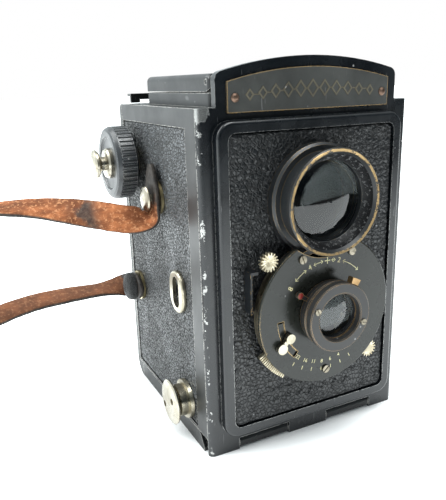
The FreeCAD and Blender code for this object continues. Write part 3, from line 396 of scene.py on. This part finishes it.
BLACK = (0.0028, 0.0038, 0.0050, 1.0)
BODY_BLACK = (0.0045, 0.0052, 0.0056, 1.0)
BARE_METAL = (0.60, 0.58, 0.54, 1.0)
BRASS = (0.56, 0.37, 0.16, 1.0)
NICKEL = (0.42, 0.39, 0.31, 1.0)
NICKEL_TARNISH = (0.22, 0.19, 0.13, 1.0)

front_lacquer = lacquer("front_lacquer", BLACK, (0.34, 0.34, 0.33, 1.0), rough=0.20, cover=0.24,
                        chips=True, specular=0.52, dust=0.012)
body_lacquer = lacquer("body_lacquer", BODY_BLACK, BARE_METAL, rough=0.34, cover=0.24)
hood_lacquer = lacquer("hood_lacquer", BODY_BLACK, BARE_METAL, rough=0.34, cover=0.26, reach=0.0004)
inner_black = lacquer("inner_black", (0.004, 0.004, 0.0045, 1.0), grey(0.2), rough=0.75, cover=0.1,
                      specular=0.2)
mechanism_black = lacquer("mechanism_black", (0.012, 0.012, 0.013, 1.0), BRASS, rough=0.45, cover=0.3)
plate_enamel = lacquer("name_plate_enamel", (0.030, 0.031, 0.029, 1.0), BRASS, rough=0.42, cover=0.42,
                       reach=0.0005, specular=0.34, dust=0.015)
knob_black = lacquer("knob_black", (0.010, 0.012, 0.014, 1.0), grey(0.45), rough=0.30, cover=0.36,
                     reach=0.0005, specular=0.7)
guard_black = lacquer("guard_black", BLACK, BRASS, rough=0.36, cover=0.12, reach=0.0003)
disc_enamel = worn_enamel("disc_enamel", (0.010, 0.011, 0.009, 1.0), (0.42, 0.30, 0.15, 1.0), -11.0, -10.5,
                          rough=0.19, cover=0.56, specular=0.34)
barrel_enamel = worn_enamel("barrel_enamel", (0.008, 0.009, 0.010, 1.0), (0.42, 0.29, 0.14, 1.0),
                            -14.0, -12.9, rough=0.30, cover=0.34)
ring_enamel = worn_enamel("ring_enamel", (0.012, 0.012, 0.012, 1.0), (0.46, 0.30, 0.15, 1.0), -18.6, -17.6,
                          rough=0.34, cover=0.56, reach=0.0005)
front_skin = pressed_leather("front_leather_skin", (0.0022, 0.0034, 0.0048, 1.0), 760.0, rough=0.30,
                             specular=0.56, top=0.010, depth=0.00016)
side_skin = pressed_leather("side_leather_skin", (0.0080, 0.0088, 0.0085, 1.0), 920.0, rough=0.30,
                            specular=0.52, top=0.085, depth=0.00026)
nickel = plated("nickel", NICKEL, NICKEL_TARNISH)
nickel_lever = plated("nickel_lever", (0.42, 0.38, 0.29, 1.0), (0.22, 0.18, 0.11, 1.0), rough=0.30)
screw_nickel = plated("screw_nickel", (0.26, 0.235, 0.185, 1.0), (0.13, 0.11, 0.08, 1.0), rough=0.26,
                      cover=0.3, cloud=400.0)
nickel_knob = plated("nickel_knob", (0.44, 0.41, 0.34, 1.0), (0.24, 0.21, 0.15, 1.0), rough=0.20,
                     cloud=170.0)
washer_brass = plated("washer_brass", (0.42, 0.35, 0.20, 1.0), (0.24, 0.19, 0.10, 1.0), rough=0.3)
tab_brass = plated("tab_brass", (0.34, 0.22, 0.11, 1.0), (0.20, 0.12, 0.05, 1.0), rough=0.32)
rivet_copper = plated("rivet_copper", (0.20, 0.13, 0.095, 1.0), (0.10, 0.065, 0.05, 1.0), rough=0.38)
bright_steel = plated("bright_steel", (0.55, 0.55, 0.54, 1.0), (0.36, 0.35, 0.33, 1.0), rough=0.3)
blade_steel = plated("blade_steel", (0.12, 0.12, 0.12, 1.0), (0.07, 0.07, 0.07, 1.0), rough=0.35)
silvering = mirror_silver()
clear_glass = lens_glass("clear_glass", (0.42, 0.46, 0.46, 1.0), rough=0.01)
ruby_glass = lens_glass("ruby_glass", (0.60, 0.03, 0.02, 1.0), rough=0.08)

FINISHES = {
    front_lacquer: ["front_plate"],
    body_lacquer: ["left_wall", "right_wall", "back_door", "door_floor", "top_plate", "door_latch"],
    hood_lacquer: ["hood_base", "hood_lid"],
    inner_black: ["hood_wing_left", "hood_wing_right", "finder_partition", "light_box", "film_gate",
                  "tripod_bridge", "pressure_plate"],
    mechanism_black: ["shutter_housing", "take_up_spool", "window_bezel", "window_cover"],
    plate_enamel: ["name_plate"],
    knob_black: ["winding_knob"],
    guard_black: ["release_guard"],
    disc_enamel: ["shutter_disc"],
    barrel_enamel: ["finder_barrel"],
    ring_enamel: ["focus_ring"],
    screw_nickel: ["disc_screws", "ring_screws"],
    nickel: ["side_eyelet", "aperture_pointer", "spool_bushes", "tripod_bush"],
    nickel_lever: ["release_lever", "speed_lever", "aperture_ring"],
    nickel_knob: ["strap_studs", "winder_stud", "knob_collar", "supply_knob"],
    washer_brass: ["strap_washers"],
    tab_brass: ["focus_tab"],
    rivet_copper: ["name_plate_rivets"],
    bright_steel: ["hinge_pin", "film_roller_lower", "film_roller_upper", "pressure_springs"],
    blade_steel: ["shutter_blade_left", "shutter_blade_right"],
    silvering: ["finder_mirror"],
    clear_glass: ["finder_front_lens", "finder_field_lens", "taking_front_lens", "taking_rear_lens"],
    ruby_glass: ["red_window"],
}
for finish, nodes in FINISHES.items():
    for node in nodes:
        thing = frame["nodes"][node]
        thing.data.materials.clear()
        thing.data.materials.append(finish)


# ---- leather coverings ----------------------------------------------------------------------
def marks_along(low, high, step):
    """Grid lines from low to high, set close together at both ends for the rolled edge."""
    close = (0.0, 0.04, 0.14, 0.32, 0.6)
    inner = int((high - low - 1.2) / step)
    middle = [low + 0.6 + (high - low - 1.2) * i / inner for i in range(1, inner)]
    return [low + c for c in close] + middle + [high - c for c in reversed(close)]


def pebble(u, v, cell, seed):
    """Height from 0 in a crease to 1 on a pebble of pressed leather grain."""
    bend = noise.noise_vector(Vector((u * 0.45, v * 0.45, seed)))
    place = Vector(((u + 0.55 * bend.x) / cell, (v + 0.55 * bend.y) / (cell * 0.86), seed))
    near, second = noise.voronoi(place)[0][:2]
    gap = min(1.0, (second - near) / 0.60)
    size = 0.80 + 0.34 * noise.noise(Vector((u * 0.9, v * 0.9, seed + 7)))
    fine = 0.16 * noise.noise(Vector((u * 1.9, v * 1.9, seed + 3)))
    return size * (1.0 - (1.0 - gap) ** 1.8) + fine


def leather_sheet(name, place, across, upward, radius, cell, relief, thick, material, node, body,
                  step=0.38, holes=(), seed=1.0, emboss=None):
    """A pressed leather covering; place(u, v, height) sets its points on its wall."""
    us, vs = marks_along(*across, step), marks_along(*upward, step)
    middle = Vector(((across[0] + across[1]) / 2, (upward[0] + upward[1]) / 2))
    half = Vector(((across[1] - across[0]) / 2, (upward[1] - upward[0]) / 2))
    points, faces = [], []
    for v in vs:
        for u in us:
            edge = min(half.x - abs(u - middle.x), half.y - abs(v - middle.y))
            pu, pv = u, v
            corner = Vector((abs(u - middle.x) - half.x + radius, abs(v - middle.y) - half.y + radius))
            if corner.x > 0 and corner.y > 0:
                corner *= max(corner) / corner.length
                pu = middle.x + math.copysign(half.x - radius + corner.x, u - middle.x)
                pv = middle.y + math.copysign(half.y - radius + corner.y, v - middle.y)
            roll = math.sqrt(max(0.0, 1.0 - (1.0 - min(1.0, edge / 0.6)) ** 2))
            height = relief * (pebble(u, v, cell, seed) - 1.0)
            if emboss:
                height = emboss(u, v, height)
            points.append(place(pu, pv, (thick + height) * roll))
    count = len(us)
    for j in range(len(vs) - 1):
        for i in range(count - 1):
            cu, cv = (us[i] + us[i + 1]) / 2, (vs[j] + vs[j + 1]) / 2
            if any(math.hypot(cu - hu, cv - hv) < hr for hu, hv, hr in holes):
                continue
            a = j * count + i
            faces.append((a, a + 1, a + count + 1, a + count))
    if (points[1] - points[0]).cross(points[count] - points[0]).dot(place(0, 50, 1) - place(0, 50, 0)) < 0:
        faces = [tuple(reversed(f)) for f in faces]
    sheet = piece(name, points, faces, material, body)
    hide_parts(node)
    return sheet


BADGE_HALF, BADGE_R, BADGE_Z = 22.3, 4.5, 15.0


def badge(u, v, height):
    """A smooth round-ended panel pressed into the grain, with a rim and a row of small lozenges."""
    reach = max(0.0, abs(u) - (BADGE_HALF - BADGE_R))
    out = math.hypot(reach, v - BADGE_Z) - BADGE_R
    if out > 0.9:
        return height
    rim = max(0.0, 1.0 - (abs(out) / 0.55) ** 2)
    field = min(1.0, max(0.0, -out / 0.5))
    row = (u + 2.4) % 4.8 - 2.4
    inside = abs(u) < 17.0 and abs(row) / 1.7 + abs(v - BADGE_Z) / 2.5 < 1.0
    return height * (1.0 - field * 0.8) + 0.22 * rim - 0.34 * field + (0.42 if inside else 0.0)


leather_sheet("front_leather_grain", lambda u, v, h: at(u, -2.05 - h, v), (-29.7, 29.7), (10.5, 103.6), 2.1,
              1.7, 0.50, 0.80, front_skin, "front_leather", BODY, 0.36,
              ((0, FINDER_Z, 13.4), (0, LENS_Z, 9.4)), 3.0, badge)
leather_sheet("left_leather_grain", lambda u, v, h: at(-37.35 - h, u, v), (9.4, 68.0), (6.9, 105.0), 1.2,
              1.25, 0.36, 0.66, side_skin, "left_leather", BODY, 0.36,
              ((18.0, 13.2, 4.6), (57.7, 90.8, 4.6), (20.2, 51.5, 2.6)), 9.0)
leather_sheet("right_leather_grain", lambda u, v, h: at(37.35 + h, u, v), (9.4, 68.0), (6.9, 105.0), 1.2,
              1.2, 0.30, 0.62, side_skin, "right_leather", BODY, 0.5, (), 15.0)
leather_sheet("back_leather_grain", lambda u, v, h: at(u, 71.85 + h, v), (-34.0, 34.0), (10.0, 104.0), 3.0,
              1.4, 0.26, 0.58, side_skin, "back_leather", "back_door", 0.5, ((0, LENS_Z, 8.4),), 21.0)


# ---- carrying strap -------------------------------------------------------------------------
def strap_material():
    """Limp calf strap: orange suede outside, dark grain inside and where it is handled, dirty edges."""
    material, tree, shader = blank("strap_calf")
    place = own_place(tree)
    x, _, z = joined(tree, "SeparateXYZ", {0: place}).outputs
    side = joined(tree, "Attribute", attribute_name="suede").outputs["Fac"]
    nap = speckle(tree, place, 760.0, 5.0, 0.75)
    broad = speckle(tree, place, 110.0, 5.0, 0.62)
    laid = joined(tree, "Mapping", {"Vector": place, "Scale": (0.22, 0.5, 1.0)}).outputs[0]
    streak = speckle(tree, laid, 620.0, 5.0, 0.65)
    suede = blended(tree, ranged(tree, broad, 0.34, 0.66), (0.130, 0.042, 0.016, 1.0),
                    (0.430, 0.150, 0.058, 1.0))
    suede = blended(tree, maths(tree, "MULTIPLY", ranged(tree, streak, 0.46, 0.62), 0.65), suede,
                    (0.150, 0.046, 0.018, 1.0))
    suede = blended(tree, maths(tree, "MULTIPLY", ranged(tree, nap, 0.52, 0.62), 0.6), suede,
                    (0.68, 0.33, 0.16, 1.0))
    # The suede is darker towards the bottom: it starts darkening at 56 mm and is darkest below 44 mm.
    low = ranged(tree, z, 0.056, 0.044, 0.0, 0.55)
    suede = blended(tree, low, suede, (0.125, 0.060, 0.036, 1.0))
    grain = blended(tree, ranged(tree, nap, 0.35, 0.65), (0.012, 0.010, 0.009, 1.0),
                    (0.050, 0.042, 0.036, 1.0))
    ragged = maths(tree, "MULTIPLY", maths(tree, "SUBTRACT", broad, 0.5), 0.016)
    tips = ranged(tree, maths(tree, "ADD", x, ragged), -0.0452, -0.0425)
    clear = maths(tree, "MULTIPLY", ranged(tree, z, 0.056, 0.060), ranged(tree, z, 0.081, 0.078))
    tips = maths(tree, "MULTIPLY", tips, maths(tree, "SUBTRACT", 1.0, clear))
    upper = ranged(tree, z, 0.060, 0.066)
    near = ranged(tree, maths(tree, "ABSOLUTE", maths(tree, "ADD", x, 0.0625)), 0.0065, 0.0015)
    smudge = maths(tree, "MULTIPLY", maths(tree, "MULTIPLY", near, upper), ranged(tree, broad, 0.40, 0.56))
    dark = maths(tree, "MAXIMUM", tips, maths(tree, "MULTIPLY", smudge, 0.9))
    dark = maths(tree, "MAXIMUM", dark, maths(tree, "SUBTRACT", 1.0, side))
    tree.links.new(blended(tree, dark, suede, grain), shader["Base Color"])
    tree.links.new(ranged(tree, dark, 0.0, 1.0, 0.86, 0.52, False), shader["Roughness"])
    raised(tree, shader, maths(tree, "ADD", nap, maths(tree, "MULTIPLY", streak, 0.8)), 0.00018, 0.8)
    shader["Specular IOR Level"].default_value = 0.25
    return material


def smooth_line(name, rows):
    """Points along the smooth line that a list of control points draws."""
    curve = bpy.data.curves.new(name, "CURVE")
    curve.dimensions = "3D"
    line = curve.splines.new("NURBS")
    line.points.add(len(rows) - 1)
    for point, row in zip(line.points, rows):
        point.co = (*row, 1.0)
    line.order_u = 3
    line.use_endpoint_u = True
    line.resolution_u = 22
    holder = bpy.data.objects.new(name, curve)
    mesh = bpy.data.meshes.new_from_object(holder)
    points = [v.co.copy() for v in mesh.vertices]
    for data, store in ((mesh, bpy.data.meshes), (holder, bpy.data.objects), (curve, bpy.data.curves)):
        store.remove(data)
    return points


# Millimetres, from the upper tab's tip to the lower tab's tip, then the angle of the strap's
# width from upright towards the back, in degrees, and its half width.
STRAP = [(-39.9, -7.2, 92.4, 90, 4.7), (-39.9, -7.3, 82.0, 90, 5.2), (-40.1, -7.5, 73.4, 74, 5.0),
         (-50.0, -7.7, 74.6, 12, 4.7), (-62.0, -0.8, 77.4, 40, 4.8), (-80.0, 9.5, 80.0, 72, 4.9),
         (-104.0, 18.0, 78.4, 96, 4.9), (-134.0, 26.0, 69.0, 112, 4.9), (-163.0, 31.0, 49.0, 138, 4.9),
         (-189.0, 33.0, 23.0, 165, 4.9), (-212.0, 21.0, 6.8, 178, 4.9), (-218.0, -6.0, 5.5, 180, 4.9),
         (-197.0, -29.0, 5.5, 180, 4.9), (-166.0, -28.0, 5.8, 184, 4.9), (-141.0, -12.0, 9.0, 200, 4.9),
         (-122.0, 7.0, 21.0, 226, 4.9), (-103.0, 20.0, 36.3, 246, 4.9), (-82.0, 26.6, 39.4, 254, 4.9),
         (-63.0, 28.0, 39.6, 256, 4.8), (-50.0, 28.0, 39.2, 264, 4.6), (-40.3, 27.6, 39.8, 212, 4.6),
         (-39.9, 19.0, 41.7, 181, 5.2), (-39.9, 11.6, 42.4, 180, 4.6)]
STRAP_THICK = 1.6
# The strap's outline: shares of its half width and of its thickness.
STRAP_SECTION = [(-1.0, -0.25), (-0.93, -0.46), (-0.5, -0.5), (0.0, -0.5), (0.5, -0.5), (0.93, -0.46),
                 (1.0, -0.25), (1.0, 0.25), (0.93, 0.46), (0.5, 0.5), (0.0, 0.5), (-0.5, 0.5),
                 (-0.93, 0.46), (-1.0, 0.25)]


def leather_strap():
    line = smooth_line("strap_line", [Vector(row[:3]) * MM for row in STRAP])
    turns = smooth_line("strap_turns", [Vector((math.radians(row[3]), row[4], 0.0)) for row in STRAP])
    points, faces, suede = [], [], []
    rows = len(STRAP_SECTION)
    for i, (place, turn) in enumerate(zip(line, turns)):
        ahead = (line[min(i + 1, len(line) - 1)] - line[max(i - 1, 0)]).normalized()
        width = Vector((0.0, math.sin(turn.x), math.cos(turn.x)))
        width = (width - ahead * width.dot(ahead)).normalized()
        outward = -ahead.cross(width)
        curl = 0.25 * noise.noise(place * 60.0)
        end = min(i, len(line) - 1 - i)
        tip = math.sqrt(min(1.0, (end + 0.4) / 9.0)) if end < 9 else 1.0
        for u, v in STRAP_SECTION:
            rough = 1.0 + 0.035 * noise.noise(place * 420.0 + Vector((u, 0, 0)))
            lift = v * STRAP_THICK + curl * u * u
            points.append(place + (width * (u * turn.y * tip * rough) + outward * lift) * MM)
            suede.append(1.0 if v > 0.3 else 0.0)
    for i in range(len(line) - 1):
        for k in range(rows):
            a, b = i * rows + k, i * rows + (k + 1) % rows
            faces.append((a, b, b + rows, a + rows))
    faces.append(tuple(range(rows)))
    faces.append(tuple(reversed(range((len(line) - 1) * rows, len(line) * rows))))
    strap = piece("leather_strap", points, faces, strap_material(), BODY)
    shade = strap.data.attributes.new("suede", "FLOAT", "POINT")
    shade.data.foreach_set("value", suede)
    fix = bmesh.new()
    fix.from_mesh(strap.data)
    bmesh.ops.recalc_face_normals(fix, faces=fix.faces)
    fix.to_mesh(strap.data)
    fix.free()
    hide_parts("strap", "strap_ends")


leather_strap()


# ---- name plate ornament --------------------------------------------------------------------
def flat_strips(name, strips, material, body, depth, height=0.12):
    """Low raised strips on a face: each strip is (closed, points (x, z), half width)."""
    points, faces = [], []
    for closed, line, half in strips:
        start, count = len(points), len(line)
        for i, p in enumerate(line):
            a = line[(i - 1) % count] if closed or i else p
            b = line[(i + 1) % count] if closed or i < count - 1 else p
            way = Vector((b[0] - a[0], b[1] - a[1])).normalized()
            across = Vector((-way.y, way.x)) * half
            for side, rise in ((-1.0, 0.0), (-0.8, 1.0), (0.8, 1.0), (1.0, 0.0)):
                u, w = p[0] + across.x * side, p[1] + across.y * side
                points.append(at(u, depth - height * rise, w))
        for i in range(count if closed else count - 1):
            a, b = start + i * 4, start + (i + 1) % count * 4
            faces += [(a + k, a + k + 1, b + k + 1, b + k) for k in range(3)]
    return piece(name, points, faces, material, body, smooth=False)


LOZENGE_PITCH = 4.3


def plate_trim():
    """Eleven linked lozenges on a low arch, smaller towards both ends."""
    strips = []
    for i in range(-5, 6):
        x, r = i * LOZENGE_PITCH, 1.9 - 0.16 * abs(i)
        z = 113.9 + 1.5 * (1.0 - (x / 24.0) ** 2)
        strips.append((True, [(x + r, z), (x, z + r * 1.25), (x - r, z), (x, z - r * 1.25)], 0.40))
        if i < 5:
            strips.append((False, [(x + r + 0.25, z), (x + LOZENGE_PITCH - r - 0.1, z + 0.02)], 0.16))
    flat_strips("name_plate_ornament", strips, ornament_olive, BODY, -0.68, 0.16)


ornament_olive = lacquer("ornament_olive", (0.070, 0.064, 0.046, 1.0), (0.14, 0.11, 0.07, 1.0), rough=0.4,
                         cover=0.4)
plate_trim()


# ---- markings of the shutter's dial ---------------------------------------------------------
def dial_point(r, degrees):
    a = math.radians(degrees)
    return r * math.cos(a), LENS_Z + r * math.sin(a)


ARC_R, SCALE_R = 16.5, 17.4      # circles of the distance arcs and of the aperture numbers
# Number, its height, radius, angle, and whether it stands upside down.
DIAL_TEXT = [("8", 2.4, ARC_R, 144.5, False), ("4", 2.4, ARC_R, 113.0, False),
             ("2", 2.4, ARC_R, 74.5, False), ("22", 1.8, SCALE_R, 232.0, True),
             ("16", 1.8, SCALE_R, 243.0, True), ("11", 1.8, SCALE_R, 254.0, True),
             ("8", 1.8, SCALE_R, 265.0, True), ("6", 1.8, SCALE_R, 276.0, True),
             ("4", 1.8, SCALE_R, 287.0, True)]


def dial_marks():
    """Plain numbers, a cross and arrowed arcs, printed thinly on the disc."""
    points, faces = [], []
    for text, size, r, degrees, flip in DIAL_TEXT:
        curve = bpy.data.curves.new("mark", "FONT")
        curve.body, curve.size, curve.align_x, curve.align_y = text, size, "CENTER", "CENTER"
        curve.extrude = 0.02
        holder = bpy.data.objects.new("mark", curve)
        mesh = bpy.data.meshes.new_from_object(holder)
        x, z = dial_point(r, degrees)
        turn = math.radians(degrees - 90.0 + (180.0 if flip else 0.0))
        start = len(points)
        for v in mesh.vertices:
            u = v.co.x * math.cos(turn) - v.co.y * math.sin(turn)
            w = v.co.x * math.sin(turn) + v.co.y * math.cos(turn)
            points.append(at(x + u, DISC_FACE - 0.02 - v.co.z, z + w))
        faces += [tuple(start + k for k in p.vertices) for p in mesh.polygons]
        for data, store in ((mesh, bpy.data.meshes), (holder, bpy.data.objects), (curve, bpy.data.curves)):
            store.remove(data)
    piece("dial_numbers", points, faces, dial_ink, BODY, smooth=False)
    strips = []
    for first, last in ((135.0, 118.5), (108.0, 96.0), (84.5, 79.5), (69.0, 44.0)):
        arc = [dial_point(ARC_R, first + (last - first) * i / 10) for i in range(11)]
        strips.append((False, arc, 0.10))
        for end, way in ((first, -2.4), (last, 2.4)):
            head = [dial_point(ARC_R + 0.6, end + way), dial_point(ARC_R, end),
                    dial_point(ARC_R - 0.6, end + way)]
            strips.append((False, head, 0.10))
    strips.append((False, [dial_point(15.4, 90.0), dial_point(17.6, 90.0)], 0.13))
    strips.append((False, [dial_point(ARC_R, 93.6), dial_point(ARC_R, 86.4)], 0.13))
    strips += [(False, [dial_point(19.4, a), dial_point(20.6, a)], 0.12) for a in range(232, 300, 11)]
    flat_strips("dial_lines", strips, dial_ink, BODY, DISC_FACE - 0.005, 0.03)


dial_ink = lacquer("dial_ink", (0.55, 0.47, 0.27, 1.0), (0.18, 0.15, 0.10, 1.0), rough=0.6, cover=0.1,
                   specular=0.3)
dial_marks()

ribs = [(14.52 - 1.85 * i / 22 - (0.16 if i % 2 else 0.0), -12.5 + 2.75 * i / 22) for i in range(23)]
turned("finder_ribs", ribs, 0.0, FINDER_Z, inner_black, BODY, 128)

index_red = lacquer("index_red", (0.15, 0.016, 0.012, 1.0), BRASS, rough=0.32, cover=0.2, reach=0.0002)
red_x, red_z = dial_point(13.2, 146.0)
turned("red_index_cap", [(0.02, -11.62), (0.5, -11.6), (0.82, -11.5), (0.92, -11.38)], red_x, red_z,
       index_red, "focus_ring", 32)


# ---- toothed heads of the levers, the pointer's slot and the leather over the lower stud ------
HEAD_TEETH, HEAD_TIP_R, HEAD_ROOT_R = 16, 3.0, 2.2
tooth_ivory = plated("tooth_ivory", (0.66, 0.60, 0.46, 1.0), (0.36, 0.30, 0.19, 1.0), rough=0.34,
                     cloud=500.0)


def toothed_crown(name, degrees, body, front, back):
    """A serrated thumb head: coarse teeth round a dished middle."""
    x, z = dial_point(LEVER_HEAD_R, degrees)
    count = HEAD_TEETH * 4
    points, faces = [at(x, front + 0.3, z)], []
    for i in range(count):
        r = HEAD_TIP_R if i % 4 in (1, 2) else HEAD_ROOT_R
        a = 2 * math.pi * i / count
        u, w = r * math.cos(a), r * math.sin(a)
        points += [at(x + u * 0.55, front + 0.1, z + w * 0.55), at(x + u, front, z + w),
                   at(x + u, back, z + w)]
    for i in range(count):
        a, b = 1 + i * 3, 1 + (i + 1) % count * 3
        faces += [(0, a, b), (a, a + 1, b + 1, b), (a + 1, a + 2, b + 2, b + 1)]
    piece(name, points, faces, tooth_ivory, body, smooth=False)


toothed_crown("release_head_teeth", 137.0, "release_lever", -8.75, -7.1)
toothed_crown("speed_head_teeth", -43.6, "speed_lever", -6.99, -5.8)


def dial_sector(name, r0, r1, a0, a1, front, back, count, finish, body, gap=0.0):
    """A flat sector on the dial's centre, whole or parted into teeth with a gap between them."""
    points, faces = [], []
    pitch = (a1 - a0) / count
    for i in range(count):
        start, n = a0 + i * pitch, len(points)
        for angle in (start, start + pitch * (1.0 - gap)):
            for r, d in ((r0, front), (r1, front), (r1, back), (r0, back)):
                x, z = dial_point(r, angle)
                points.append(at(x, d, z))
        faces += [(n + k, n + (k + 1) % 4, n + 4 + (k + 1) % 4, n + 4 + k) for k in range(4)]
        if gap:
            faces += [(n, n + 3, n + 2, n + 1), (n + 4, n + 5, n + 6, n + 7)]
    return piece(name, points, faces, finish, body, smooth=False)


dial_sector("aperture_grip_teeth", 23.6, 25.9, 210.0, 238.0, -6.0, -4.5, 15, tooth_ivory, "aperture_ring",
            gap=0.5)
# The pointer's pin passes through the seal.
dial_sector("pointer_slot_seal", 15.92, 18.08, 184.2, 225.8, DISC_FACE + 0.25, DISC_FACE + 0.6, 14,
            disc_enamel, BODY)


COVER_RINGS = [(1.6, -44.7), (3.2, -44.4), (4.6, -43.7), (5.1, -42.6), (5.2, -41.0)]    # radius, x
SLIT_ANGLE, SLIT_DEEP, SLIT_WIDE = 0.7, 0.35, 0.5


def stud_cover():
    """The slit end of the strap pulled up over the lower stud's head."""
    y, z = 61.0, 41.7
    points, faces, steps = [at(-44.75, y, z)], [], 28
    for r, x in COVER_RINGS:
        for i in range(steps):
            a = 2 * math.pi * i / steps
            slit = SLIT_DEEP * math.exp(-(math.sin(a - SLIT_ANGLE) * r / SLIT_WIDE) ** 2) if r < 4.5 else 0.0
            points.append(at(x + slit, y + r * math.cos(a) * 0.92, z + r * math.sin(a) * 1.06))
    for i in range(steps):
        j = (i + 1) % steps
        faces.append((0, 1 + j, 1 + i))
        for k in range(len(COVER_RINGS) - 1):
            a, b = 1 + k * steps, 1 + (k + 1) * steps
            faces.append((a + i, a + j, b + j, b + i))
    return piece("strap_slit_end", points, faces, tab_leather, BODY)


tab_leather = pressed_leather("tab_leather", (0.020, 0.019, 0.017, 1.0), 2600.0, rough=0.42, specular=0.4,
                              top=0.05)
stud_cover()


# ---- floor and light ------------------------------------------------------------------------
def floor():
    mesh = bpy.data.meshes.new("table_top")
    mesh.from_pydata([(-6, -6, 0), (6, -6, 0), (6, 6, 0), (-6, 6, 0)], [], [(0, 1, 2, 3)])
    material, tree, shader = blank("table_white")
    stain = speckle(tree, own_place(tree), 3.0, 3.0)
    x, y, _ = joined(tree, "SeparateXYZ", {0: own_place(tree)}).outputs
    edge = maths(tree, "SUBTRACT", y, maths(tree, "MULTIPLY", maths(tree, "MAXIMUM", x, 0.5), 0.6))
    # Painted shade: towards the front the floor is near black for every ray but the camera's, so the lacquer
    # reflects a dark floor there; to the camera the whole floor is white.
    lit = maths(tree, "MAXIMUM", ranged(tree, edge, -0.72, -0.66),
                joined(tree, "LightPath").outputs["Is Camera Ray"])
    white = blended(tree, stain, grey(0.90), grey(0.94))
    tree.links.new(blended(tree, lit, grey(0.06), white), shader["Base Color"])
    shader["Roughness"].default_value = 0.7
    shader["Specular IOR Level"].default_value = 0.2
    shader["Emission Color"].default_value = (0.94, 1.0, 1.01, 1.0)
    # Painted shadow: the floor's glow fades where ambient occlusion finds the box camera close by, drawing
    # its contact shadow.
    open_sky = joined(tree, "AmbientOcclusion", {"Distance": 0.06}, samples=8).outputs["AO"]
    glow = ranged(tree, open_sky, 0.35, 0.95, 0.0, 1.5)
    tree.links.new(maths(tree, "MULTIPLY", glow, lit), shader["Emission Strength"])
    mesh.materials.append(material)
    top = bpy.data.objects.new("table_top", mesh)
    bpy.context.scene.collection.objects.link(top)


def softbox(name, place, aim, size, watts, tint=(1.0, 1.0, 1.0)):
    data = bpy.data.lights.new(name, "AREA")
    data.shape, data.size, data.size_y = "RECTANGLE", size[0], size[1]
    data.energy, data.color = watts, tint
    lamp = bpy.data.objects.new(name, data)
    lamp.location = place
    lamp.rotation_euler = (Vector(aim) - Vector(place)).to_track_quat("-Z", "Y").to_euler()
    bpy.context.scene.collection.objects.link(lamp)


def room_light():
    world = bpy.data.worlds.new("studio")
    world.use_nodes = True
    tree = world.node_tree
    glow = tree.nodes["Background"]
    way = joined(tree, "SeparateXYZ", {0: joined(tree, "TexCoord").outputs["Generated"]}).outputs
    behind = ranged(tree, maths(tree, "SUBTRACT", way[1], maths(tree, "MULTIPLY", way[0], 0.55)), -0.45, 0.30)
    level = blended(tree, behind, (0.040, 0.060, 0.075, 1.0), (1.55, 1.70, 1.74, 1.0))
    level = blended(tree, ranged(tree, way[2], 0.25, 0.95), level, (0.75, 0.82, 0.84, 1.0))
    seen = joined(tree, "LightPath").outputs["Is Camera Ray"]
    tree.links.new(blended(tree, seen, level, grey(1.0)), glow.inputs[0])
    bpy.context.scene.world = world


floor()
room_light()
softbox("window_left", (-0.60, 0.30, 0.75), (0.0, 0.0, 0.05), (0.7, 0.7), 9.0, (0.97, 1.0, 1.0))
softbox("ceiling", (0.1, -0.35, 1.2), (0.0, 0.0, 0.0), (0.9, 0.6), 12.0, (0.97, 1.0, 1.0))
bpy.context.scene.view_settings.view_transform = "Standard"
